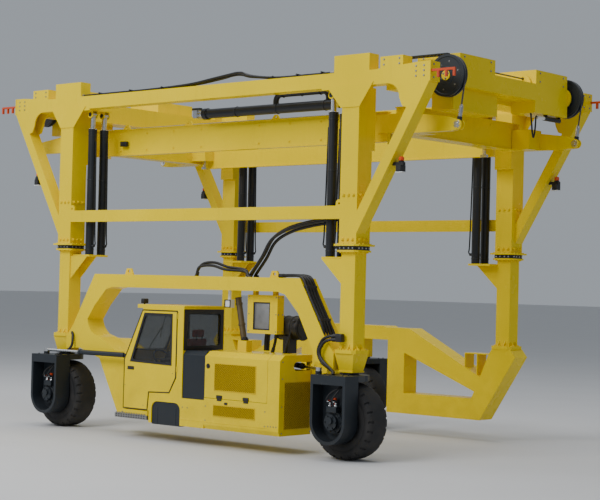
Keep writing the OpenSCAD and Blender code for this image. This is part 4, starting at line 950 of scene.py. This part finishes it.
class CARRIER_OT_seat(bpy.types.Operator):
    """Replace the plain seat with a padded cushion, back and headrest on a sprung foot"""

    bl_idname = "carrier.seat"
    bl_label = "Driver's seat"

    def execute(self, context):
        shapes = {"seat_cushion": ((0.06, 1.70, 1.015), (0.48, 2.07, 1.12), 0.0),
                  "seat_back": ((0.0, 1.705, 1.13), (0.11, 2.065, 1.50), -0.13),
                  "seat_headrest": ((-0.045, 1.78, 1.52), (0.045, 1.99, 1.635), -0.13)}
        for name, (low, high, lean) in shapes.items():
            obj = box(low, high, 0.03, 3)
            bpy.ops.object.mode_set(mode="EDIT")
            bpy.ops.mesh.select_all(action="SELECT")
            bpy.ops.mesh.subdivide(number_cuts=3)
            bpy.ops.object.mode_set(mode="OBJECT")
            self.crown(obj, Vector(low), Vector(high), lean)
            only(obj)
            smooth = obj.modifiers.new("pad", "SUBSURF")
            smooth.levels = smooth.render_levels = 1
            bpy.ops.object.modifier_apply(modifier=smooth.name)
            stands_for = ["driver_seat"] if name == "seat_cushion" else []
            piece = keep(obj, name, "chassis", "seat_fabric", stands_for, 180)
        plates = [box((0.10, 1.74, 0.98), (0.44, 2.03, 1.012), 0.006),
                  box((0.19, 1.80, 0.715), (0.37, 1.97, 0.76), 0.008)]
        bellows = [ring((0.28, 1.885, z), Z, 0.085, 0.026) for z in (0.80, 0.86, 0.92)]
        bellows.append(rod((0.28, 1.885, 0.75), (0.28, 1.885, 0.985), 0.085))
        stems = [rod((-0.03, y, 1.48), (-0.04, y, 1.56), 0.008, 10) for y in (1.83, 1.94)]
        keep(join(plates + bellows + stems), "seat_foot", "chassis", "black_plastic")
        return {"FINISHED"}

    @staticmethod
    def crown(obj, low, high, lean):
        """Draws the rims in, sinks two sewn channels and leans the pad back."""
        rim_share, seam_place, seam_width, seam_depth, stiffness = 0.72, 0.5, 0.07, 0.008, 0.8
        middle, half = (low + high) / 2, (high - low) / 2
        thin = min(range(3), key=lambda i: half[i])
        wide = [i for i in range(3) if i != thin]
        for vertex in obj.data.vertices:
            part = [(vertex.co[i] - middle[i]) / half[i] for i in range(3)]
            inward = max(0, 1 - part[wide[0]] ** 2) * max(0, 1 - part[wide[1]] ** 2)
            plump = rim_share + (1 - rim_share) * inward
            vertex.co[thin] = middle[thin] + part[thin] * half[thin] * plump
            if part[thin] > 0:
                off_seam = min(abs(abs(part[1]) - seam_place) / seam_width, 1)
                vertex.co[thin] -= (1 - off_seam) * seam_depth
            vertex.co.x += lean * (vertex.co.z - low.z) * stiffness


# Power pack

def rectangle(width, height):
    """Corners of a rectangle about its middle."""
    return [(sx * width / 2, sy * height / 2) for sx, sy in ((-1, -1), (1, -1), (1, 1), (-1, 1))]


def grille(width, height, pitch, matrix):
    """Expanded metal: a lattice of diamonds in a folded rim."""
    bpy.ops.object.select_all(action="DESELECT")
    columns, rows = max(2, round(width / pitch)), max(2, round(height / (pitch * 0.6)))
    bpy.ops.mesh.primitive_grid_add(x_subdivisions=columns, y_subdivisions=rows, size=1)
    obj = bpy.context.active_object
    obj.scale = (width, height, 1)
    settle(obj)
    bpy.ops.object.mode_set(mode="EDIT")
    bm = bmesh.from_edit_mesh(obj.data)
    bmesh.ops.poke(bm, faces=bm.faces[:])
    inner = [edge for edge in bm.edges if not edge.is_boundary
             and (abs((edge.verts[0].co - edge.verts[1].co).x) < 1e-5
                  or abs((edge.verts[0].co - edge.verts[1].co).y) < 1e-5)]
    bmesh.ops.dissolve_edges(bm, edges=inner, use_verts=False)
    bmesh.update_edit_mesh(obj.data)
    bpy.ops.object.mode_set(mode="OBJECT")
    wire = obj.modifiers.new("lattice", "WIREFRAME")
    wire.thickness, wire.use_even_offset = 0.0075, False
    bpy.ops.object.modifier_apply(modifier=wire.name)
    obj.data.transform(matrix)
    rim = rectangle(width + 0.012, height + 0.012)
    return join([obj, gasket(rim, 0.012, 0.004, 0.006, matrix)])


class CARRIER_OT_pack_trim(bpy.types.Operator):
    """Add the grilles, latches, caps, cabinet window, cleaner bands and exhaust fittings"""

    bl_idname = "carrier.pack_trim"
    bl_label = "Power pack trim"

    def execute(self, context):
        self.grilles(context.scene.carrier_parts.mesh_pitch)
        self.fastenings()
        self.cabinet()
        self.cleaner()
        self.exhaust()
        return {"FINISHED"}

    @staticmethod
    def grilles(pitch):
        """Expanded metal over a sheet of painted shade, one in the door and two in the housing."""
        panels = {"door": [(0.785, 0.375, (-1.2225, SIDE_Y, 1.002), -X, Y)],
                  "housing": [(0.79, 0.15, (-1.215, SIDE_Y, 0.53), -X, Y),
                              (0.54, 0.64, (-2.055, 1.99, 0.67), -Y, -X)]}
        for name, places in panels.items():
            body = "pack_door" if name == "door" else "chassis"
            nets, shade_sheets = [], []
            for width, height, place, across, out in places:
                net = in_plane(Vector(place) + 0.004 * out, across, Z)
                nets.append(grille(width, height, pitch, net))
                # the sheet behind each net is painted shade: a dark plate for the shade seen through the
                # mesh
                sheet = in_plane(Vector(place) + 0.0005 * out, across, Z)
                shade_sheets.append(slab(rectangle(width, height), 0.002, sheet, 0))
            keep(join(nets), f"{name}_grille", body, "yellow_paint", finish="grille_paint")
            keep(join(shade_sheets), f"{name}_grille_back", body, "yellow_paint", finish="grille_shadow")

    @staticmethod
    def fastenings():
        """The door's lock and latches, the screws, the skirt's fold and the filler cap."""
        latches = (-0.93, -1.44)
        parts = [rod((-0.697, 2.357, 1.148), (-0.697, 2.366, 1.148), 0.036, 32),
                 rod((-0.697, 2.364, 1.148), (-0.697, 2.372, 1.148), 0.016, 16)]
        parts += [box((x - 0.055, 2.355, 0.700), (x + 0.055, 2.372, 0.748), 0.006) for x in latches]
        keep(join(parts), "pack_latches", "pack_door", "black_plastic")
        parts = [box((x - 0.045, 2.355, 0.668), (x + 0.045, 2.366, 0.694), 0.004) for x in latches]
        parts.append(box((-1.09, 2.357, 0.622), (-1.03, 2.368, 0.655), 0.004))
        keep(join(parts), "latch_plates", "chassis", "black_plastic")
        spots = [((x, SIDE_Y, z), Y) for x in (-0.66, -1.80) for z in (0.38, 0.58)]
        spots += [((x, SIDE_Y, 0.385), Y) for x in (-1.86, -1.91, -1.96, -2.01)]
        spots += [((-2.055, y, z), -X) for y in (1.705, 2.30) for z in (0.30, 0.66, 1.04, 1.27)]
        spots += [((x, SIDE_Y, 0.53), Y) for x in (-0.30, -0.20)]
        keep(scatter(bolt(0.008, 0.005), spots), "pack_screws", "chassis", "tread_plate")
        keep(box((-1.832, 2.354, 0.352), (-0.168, 2.3645, 0.366), 0.004), "skirt_fold", "chassis",
             "yellow_paint")
        cap = [rod((-0.965, 1.90, 1.515), (-0.965, 1.90, 1.545), 0.05, 20),
               rod((-0.965, 1.90, 1.543), (-0.965, 1.90, 1.565), 0.038, 12)]
        keep(join(cap), "filler_cap", "chassis", "black_plastic")

    @staticmethod
    def cabinet():
        """The hydraulic cabinet's window in its rubber, and the screws of its edges."""
        window = in_plane((0, 1.892, 0), X, Z)
        outline = [(-1.43, 1.675), (-1.11, 1.675), (-1.11, 2.07), (-1.43, 2.07)]
        keep(gasket(outline, 0.016, 0.01, 0.014, window), "cabinet_rubber", "chassis",
             "black_plastic")
        keep(box((-1.425, 1.884, 1.68), (-1.115, 1.889, 2.065), 0.002), "cabinet_window", "chassis",
             "tread_plate")
        heights = (1.66, 1.9, 2.14)
        spots = [((x, 1.90, z), Y) for x in (-1.545, -1.025) for z in heights]
        spots += [((-1.57, y, z), -X) for y in (1.785, 1.875) for z in heights]
        keep(scatter(bolt(0.008, 0.006), spots), "cabinet_screws", "chassis", "tread_plate")

    @staticmethod
    def cleaner():
        """Bands, end caps, outlet pipe and a clasp of the air cleaner."""
        centre = Vector((0, 1.585, 1.715))
        parts = [ring(centre + x * X, X, 0.166, 0.009, 48) for x in (-1.785, -1.66, -1.51, -1.385)]
        parts += [rod(centre - 1.81 * X, centre - 1.80 * X, 0.14, 40),
                  rod(centre - 1.37 * X, centre - 1.345 * X, 0.10, 40),
                  tube([centre - 1.35 * X, centre - 1.22 * X, centre - 1.12 * X - 0.10 * Z,
                        centre - 1.10 * X - 0.34 * Z], 0.042),
                  box((-1.79, 1.75, 1.71), (-1.72, 1.762, 1.75), 0.003)]
        keep(join(parts), "cleaner_fittings", "chassis", "engine_black")

    @staticmethod
    def exhaust():
        """A sleeve of scorched steel over the exhaust pipe, with bands and a rolled rim."""
        foot, top = Vector((-0.875, 1.79, 1.372)), Vector((-0.711, 1.79, 2.116))
        way = (top - foot).normalized()
        parts = [rod(foot + way * a, foot + way * (a + 0.03), 0.052) for a in (0.05, 0.36, 0.66)]
        parts.append(rod(foot + way * 0.02, top + way * 0.004, 0.044, 32))
        parts.append(ring(top, way, 0.046, 0.006))
        keep(join(parts), "exhaust_sleeve", "chassis", "tread_plate", finish="exhaust_steel")


# Lamps

class CARRIER_OT_lamps(bpy.types.Operator):
    """Replace the plain beacons, and add lenses to the lamps and a rim to the work lamp"""

    bl_idname = "carrier.lamps"
    bl_label = "Lamps"

    def execute(self, context):
        low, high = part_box("beacons")
        lamp_x, lamp_y = high.x - 0.038, 1.922
        domes, feet, lenses = [], [], []
        for sx, sy in QUARTERS:
            foot = Vector((sx * lamp_x, sy * lamp_y, low.z))
            feet.append(rod(foot, foot + 0.016 * Z, 0.040))
            domes.append(rod(foot + 0.016 * Z, foot + 0.075 * Z, 0.036, 32, 0.012))
            domes += [ring(foot + z * Z, Z, 0.036, 0.0025) for z in (0.028, 0.038, 0.048)]
            back, front = sorted((sx * (lamp_x - 0.062), sx * (lamp_x + 0.042)))
            lenses.append(box((back, foot.y - 0.05, low.z - 0.138),
                              (front, foot.y + 0.05, low.z - 0.124), 0.004))
        keep(join(domes), "beacon_domes", "upper_frame", "amber_lens", ["beacons"])
        keep(join(feet), "beacon_feet", "upper_frame", "black_plastic")
        keep(join(lenses), "lamp_lenses", "upper_frame", "lamp")
        low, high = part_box("work_lamp")
        rim = [gasket([(low.x, 1.975), (high.x, 1.975), (high.x, 2.09), (low.x, 2.09)], 0.012, 0.01,
                      0.012, in_plane((0, 1.944, 0), X, Z)),
               box((low.x + 0.01, 1.848, 1.985), (high.x - 0.01, 1.862, 2.08), 0.004)]
        keep(join(rim), "work_lamp_rim", "chassis", "black_plastic")
        return {"FINISHED"}


# Hoses

def hose_set(lines, radius):
    """Several hoses as one piece, and their fittings as another."""
    hoses, fittings = [], []
    for line in lines:
        points = [Vector(p) for p in line]
        hoses.append(tube(points, radius))
        for end, next_one in ((points[0], points[1]), (points[-1], points[-2])):
            way = (next_one - end).normalized()
            fittings.append(rod(end - 0.012 * way, end + 0.055 * way, radius * 1.22, 16))
            fittings.append(rod(end - 0.03 * way, end - 0.008 * way, radius * 1.4, 6))
    return join(hoses), join(fittings)


# Rear face of the arch's rear leg, from its top down to its foot
LEG_TOP_X, LEG_TOP_Z, LEG_LOW_X, LEG_LOW_Z = -2.110, 2.42, -2.590, 1.61


def leg_back(z, away=0.0):
    """Where the leg's rear face stands at a height, or a plane behind it by a gap."""
    fall = (LEG_TOP_Z - z) / (LEG_TOP_Z - LEG_LOW_Z)
    return LEG_TOP_X + fall * (LEG_LOW_X - LEG_TOP_X) - away


class CARRIER_OT_hoses(bpy.types.Operator):
    """Lay the hoses on the rail, over the arch, to the forks and to the spreader"""

    bl_idname = "carrier.hoses"
    bl_label = "Hoses"

    def execute(self, context):
        radius = context.scene.carrier_parts.hose
        self.rail(0.94 * radius, RAIL_TOP + radius)
        self.arch(1.25 * radius)
        self.lift_loops(1.35 * radius)
        self.fork_loops()
        self.spreader_lines()
        return {"FINISHED"}

    @staticmethod
    def arch(radius):
        """Hoses over the arch and down its rear leg, and two on the power pack."""
        lines = [[(-0.97, 1.86, 2.42), (-0.90, 1.87, 2.52), (-0.59, 1.90, 2.56), (-0.33, 1.90, 2.62),
                  (-0.08, 1.89, 2.60), (0.05, 1.87, 2.50), (0.08, 1.85, 2.43)],
                 [(-1.04, 1.93, 2.42), (-0.95, 1.93, 2.50), (-0.60, 1.95, 2.52), (-0.33, 1.95, 2.575),
                  (-0.06, 1.94, 2.555), (0.01, 1.93, 2.43)],
                 [(-1.72, 1.72, 1.80), (-1.65, 1.74, 1.55), (-1.60, 1.76, 1.37)],
                 [(-1.42, 1.74, 1.62), (-1.38, 1.72, 1.50), (-1.34, 1.72, 1.37)]]
        for i, y in enumerate((1.86, 1.92, 1.98, 2.035)):
            drop = 0.04 * i
            lines.append([(-1.62 - drop, y, 2.448), (-1.85, y, 2.455), (-2.06, y, 2.452),
                          (-2.165, y, 2.40), *[(leg_back(z, 0.028), y, z) for z in (2.2, 1.98, 1.78)],
                          (-2.56, y - 0.01, 1.68 - drop)])
        hoses, fittings = hose_set(lines, radius)
        keep(hoses, "arch_hoses", "chassis", "hose", smooth=60)
        keep(fittings, "arch_hose_ends", "chassis", "black_plastic")
        bands = [box((leg_back(z, 0.056), 1.83, z - 0.018), (leg_back(z, -0.01), 2.052, z + 0.018), 0.004)
                 for z in (2.3, 1.86)]
        keep(join(bands), "leg_hose_clamps", "chassis", "black_plastic")

    @staticmethod
    def rail(radius, z):
        """Four hoses along the cab side's top rail, with their ends and clamps."""
        lines = []
        peaks = (0.115, 0.14, 0.10, 0.125)
        for i, (y, peak) in enumerate(zip((1.87, 1.905, 1.94, 1.975), peaks)):
            lines.append([(2.62, y, z), (1.9, y + 0.006, z), (1.0, y - 0.004, z + 0.004),
                          (0.2, y + 0.01, z + 0.025), (-0.35, y - 0.006, z + peak * 0.7),
                          (-0.65 - 0.05 * i, y, z + peak), (-1.0, y + 0.008, z + peak * 0.5),
                          (-1.5, y, z + 0.006), (-2.1, y - 0.005, z), (-2.56, y, z)])
        hoses, fittings = hose_set(lines, radius)
        keep(hoses, "rail_hose_run", "upper_frame", "hose", ["rail_hoses"], 60)
        keep(fittings, "rail_hose_ends", "upper_frame", "tread_plate")
        clamps = []
        for x in (2.2, 1.5, 0.8, -1.45, -1.9, -2.35):
            for low in (RAIL_TOP - 0.002, RAIL_TOP + 0.034):
                clamps.append(box((x - 0.02, 1.845, low), (x + 0.02, 2.0, low + 0.008), 0.002))
            clamps += [rod((x, y, RAIL_TOP), (x, y, RAIL_TOP + 0.05), 0.006, 8) for y in (1.85, 1.995)]
        keep(join(clamps), "hose_clamps", "upper_frame", "black_plastic")

    @staticmethod
    def lift_loops(radius):
        """Hoses from the arch to the middle rail."""
        for i, (dy, dz) in enumerate(((0.0, 0.0), (0.045, -0.03), (-0.045, -0.055))):
            y = 1.83 + dy
            line = [(-0.98 - 0.05 * i, y, 2.43), (-1.03, y, 2.50 + dz), (-1.23, y, 2.74 + dz),
                    (-1.40, y, 2.98 + dz), (-1.68, y, 3.12 + dz), (-2.04, y, 3.20 + dz),
                    (-2.40, y, 3.25 + dz), (-2.56, y + 0.01, 3.30 + dz)]
            obj = tube(line, radius)
            piece = keep(obj, f"lift_hose_{i + 1}", None, "hose", smooth=60)
            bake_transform(piece)

    @staticmethod
    def fork_loops():
        """Hoses from the arch's foot and the low frame to each fork's plate."""
        runs = {"rear": [[(-2.77, 2.06, 1.655), (-2.68, 2.08, 1.645), (-2.57, 2.09, 1.592),
                          (-2.495, 2.09, 1.44), (-2.56, 2.09, 1.30), (-2.69, 2.10, 1.225),
                          (-2.80, 2.13, 1.18), (-2.85, 2.18, 1.142)],
                         [(-2.78, 2.06, 1.605), (-2.70, 2.09, 1.60), (-2.61, 2.11, 1.56),
                          (-2.545, 2.12, 1.44), (-2.60, 2.13, 1.33), (-2.72, 2.15, 1.25),
                          (-2.83, 2.18, 1.19), (-2.88, 2.22, 1.142)]],
                "front": [[(2.62, 2.03, 1.50), (2.55, 2.09, 1.44), (2.53, 2.12, 1.30),
                           (2.62, 2.14, 1.20), (2.74, 2.17, 1.16), (2.80, 2.21, 1.142)]],
                "right": [[(0.0, -2.035, 1.44), (0.02, -2.12, 1.42), (0.10, -2.17, 1.32),
                           (0.16, -2.18, 1.20), (0.17, -2.20, 1.142)]]}
        ends = []
        for name, lines in runs.items():
            for i, line in enumerate(lines):
                piece = keep(tube(line, 0.0205), f"fork_hose_{name}_{i + 1}", None, "hose", smooth=60)
                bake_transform(piece)
                start, way = Vector(line[0]), (Vector(line[1]) - Vector(line[0])).normalized()
                ends.append(rod(start - 0.05 * way, start + 0.05 * way, 0.028, 12))
        ends.append(box((-2.90, 2.02, 1.575), (-2.80, 2.10, 1.685), 0.008))
        keep(join(ends), "fork_hose_ends", "chassis", "black_plastic")

    @staticmethod
    def spreader_lines():
        """The small cylinder under the rear cross girder with its hose, a lamp and two pipes."""
        x, z = -4.12, 4.80
        line = [(x, -0.67, z + 0.01), (x - 0.015, -0.63, z - 0.01), (x - 0.02, -0.615, z - 0.11),
                (x - 0.02, -0.60, z - 0.22), (x - 0.015, -0.575, z - 0.30), (x - 0.01, -0.55, z - 0.22),
                (x, -0.545, z - 0.10), (x + 0.02, -0.55, z + 0.046)]
        keep(tube(line, 0.012), "lock_hose", "upper_frame", "hose", smooth=60)
        body = [rod((x, -0.86, z), (x, -1.28, z), 0.034)]
        body += [box((x - 0.03, y, z - 0.01), (x + 0.03, y + 0.03, 4.847), 0.004) for y in (-1.27, -0.92)]
        keep(join(body), "lock_cylinder", "upper_frame", "cylinder_paint")
        keep(rod((x, -0.68, z), (x, -0.87, z), 0.028), "lock_cylinder_head", "upper_frame", "lamp")
        lamp = [box((2.2, 1.345, 4.46), (2.34, 1.40, 4.54), 0.006),
                rod((2.27, 1.33, 4.50), (2.27, 1.35, 4.50), 0.018)]
        keep(join(lamp), "spreader_lamp", "spreader", "black_plastic")
        pipes = [tube([(along, y, 4.748) for along in (-2.75, 0, 2.75)], 0.009, steps=0)
                 for y in (1.285, 1.262)]
        keep(join(pipes), "spreader_pipes", "spreader", "bright_rod", smooth=60)


# Hoist and cylinders

class CARRIER_OT_hoist_trim(bpy.types.Operator):
    """Add the rope falls, and glands, bands, pipes and pins to the hoist and lift cylinders"""

    bl_idname = "carrier.hoist_trim"
    bl_label = "Cylinder trim"

    def execute(self, context):
        self.hoist_cylinder()
        self.rope_ends()
        self.lift_cylinders()
        return {"FINISHED"}

    @staticmethod
    def hoist_cylinder():
        """Gland bolts of the hoist cylinder, and bands on it and on the pipe above it."""
        spots = circle((0.281, HOIST_Y, HOIST_Z), X, 0.068, 8)
        keep(scatter(bolt(0.010, 0.012), spots), "hoist_gland_bolts", "upper_frame", "bright_rod")
        bands = [ring((x, HOIST_Y, HOIST_Z), X, 0.073, 0.007, 36) for x in (-2.1, -1.2, -0.4, 0.19)]
        bands += [ring((x, HOIST_Y, HOIST_Z + 0.2), X, 0.043, 0.008) for x in (-2.0, -1.65, -1.3)]
        keep(join(bands), "hoist_bands", "upper_frame", "cylinder_paint")

    @staticmethod
    def lift_cylinders():
        """Gland bolts, bands, oil pipes and pin caps of the eight lift cylinders."""
        glands, bands, pipes, pins = [], [], [], []
        for sx, sy in QUARTERS:
            for dy in (-0.254, -0.014):
                x, y = sx * (COL_X - 0.43), sy * (COL_Y + dy)
                glands += circle((x, y, 4.70), Z, 0.056, 6)
                bands += [ring((x, y, z), Z, 0.067, 0.006, 36) for z in (2.80, 3.9, 4.60)]
                pipes.append(rod((x, y, 2.86), (x - sx * 0.11, y, 2.86), 0.022, 14))
                pipes.append(tube([(x - sx * 0.09, y, 2.86), (x - sx * 0.13, y, 2.90),
                                   (x - sx * 0.115, y, 3.1), (x - sx * 0.085, y, 4.5)], 0.011))
                pins += [rod((x, y + side * 0.062, 4.93), (x, y + side * 0.070, 4.93), 0.034, 24)
                         for side in (-1, 1)]
        keep(scatter(bolt(0.008, 0.008), glands), "lift_gland_bolts", "chassis", "bright_rod")
        keep(join(bands), "lift_bands", "chassis", "cylinder_paint")
        keep(join(pipes), "lift_pipes", "chassis", "cylinder_paint", smooth=60)
        keep(join(pins), "lift_pin_caps", "upper_frame", "dark_paint")

    @staticmethod
    def rope_ends():
        """Ropes down to the spreader, and the fittings that hold it to them."""
        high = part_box("hoist_ropes")[1]
        ropes, sockets, washers, jaws = [], [], [], []
        for sx, sy in QUARTERS:
            pin = Vector((sx * LUG_X, sy * LUG_Y, LUG_Z))
            rope_top = Vector((sx * (high.x - 0.011), sy * LUG_Y, high.z))
            way = (rope_top - pin).normalized()
            ropes.append(rod(pin + 0.22 * way, rope_top, 0.011, 16))
            sockets.append(rod(pin + 0.10 * way, pin + 0.245 * way, 0.027, 24, 0.006))
            sockets.append(rod(pin + 0.24 * way, pin + 0.265 * way, 0.019, 20))
            jaws.append(rod(pin + 0.055 * way, pin + 0.105 * way, 0.034, 20, 0.005))
            for out in (Y, -Y):
                washers.append(rod(pin + 0.044 * out, pin + 0.053 * out, 0.052, 32))
                washers.append(rod(pin + 0.050 * out, pin + 0.062 * out, 0.024, 24))
        falls = keep(join(ropes), "rope_falls", None, "rope", ["hoist_ropes"])
        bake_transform(falls)
        keep(join(sockets), "rope_sockets", "spreader", "bright_rod")
        keep(join(jaws), "rope_jaws", "spreader", "dark_paint")
        keep(join(washers), "lug_washers", "spreader", "bright_rod")


class CARRIER_OT_step_teeth(bpy.types.Operator):
    """Add the entry step's teeth and slots, and the tank's straps"""

    bl_idname = "carrier.step_teeth"
    bl_label = "Step and tank"

    def execute(self, context):
        low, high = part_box("entry_step")
        teeth, slots = [], []
        count = 12
        pitch = (high.x - low.x - 0.04) / count
        for i in range(count):
            x = low.x + 0.03 + (i + 0.5) * pitch
            tooth = [(x - pitch * 0.33, 0), (x + pitch * 0.33, 0), (x + pitch * 0.18, 0.018),
                     (x - pitch * 0.18, 0.018)]
            for y in (high.y - 0.006, high.y - 0.12, high.y - 0.234):
                teeth.append(slab(tooth, 0.008, in_plane((0, y, 0.354), X, Z), 0.001))
            for base, tip in ((0.300, 0.322), (0.346, 0.326)):
                hole = [(x - pitch * 0.34, base), (x + pitch * 0.34, base), (x, tip)]
                hole = hole if base < tip else hole[::-1]
                slots.append(slab(hole, 0.0024, in_plane((0, high.y, 0), X, Z), 0))
        keep(join(teeth), "step_teeth", "chassis", "tread_plate")
        keep(join(slots), "step_slots", "chassis", "black_plastic")
        band = [box((x, 2.338, 0.262), (x + 0.03, 2.349, 0.50), 0.003) for x in (-0.06, 0.32)]
        keep(join(band), "tank_straps", "chassis", "dark_paint")
        return {"FINISHED"}


class CARRIER_PT_panel(bpy.types.Panel):
    """Lists the carrier's pieces and their sizes"""

    bl_label = "Straddle carrier"
    bl_idname = "CARRIER_PT_panel"
    bl_space_type = "VIEW_3D"
    bl_region_type = "UI"
    bl_category = "Carrier"

    def draw(self, context):
        for group in (context.scene.carrier_paint, context.scene.carrier_parts):
            column = self.layout.column(align=True)
            for name in group.__annotations__:
                column.prop(group, name)
        for operator in OPERATORS:
            self.layout.operator(operator.bl_idname)


OPERATORS = (
    CARRIER_OT_stage, CARRIER_OT_finishes, CARRIER_OT_tyres, CARRIER_OT_wheel_fittings,
    CARRIER_OT_bolts, CARRIER_OT_cab_trim, CARRIER_OT_seat, CARRIER_OT_pack_trim,
    CARRIER_OT_lamps, CARRIER_OT_hoses, CARRIER_OT_hoist_trim, CARRIER_OT_step_teeth)
CLASSES = (CarrierPaint, CarrierParts, *OPERATORS, CARRIER_PT_panel)


def register():
    """Registers the classes, and gives the scene the colours and sizes."""
    for cls in CLASSES:
        bpy.utils.register_class(cls)
    bpy.types.Scene.carrier_paint = PointerProperty(type=CarrierPaint)
    bpy.types.Scene.carrier_parts = PointerProperty(type=CarrierParts)


def unregister():
    """Takes both away again."""
    del bpy.types.Scene.carrier_parts
    del bpy.types.Scene.carrier_paint
    for cls in reversed(CLASSES):
        bpy.utils.unregister_class(cls)


def main():
    """Runs the operators in their order."""
    register()
    for operator in OPERATORS:
        name = operator.bl_idname.split(".")[1]
        if getattr(bpy.ops.carrier, name)() != {"FINISHED"}:
            raise RuntimeError(f"carrier.{name} didn't finish")


if __name__ == "__main__":
    main()
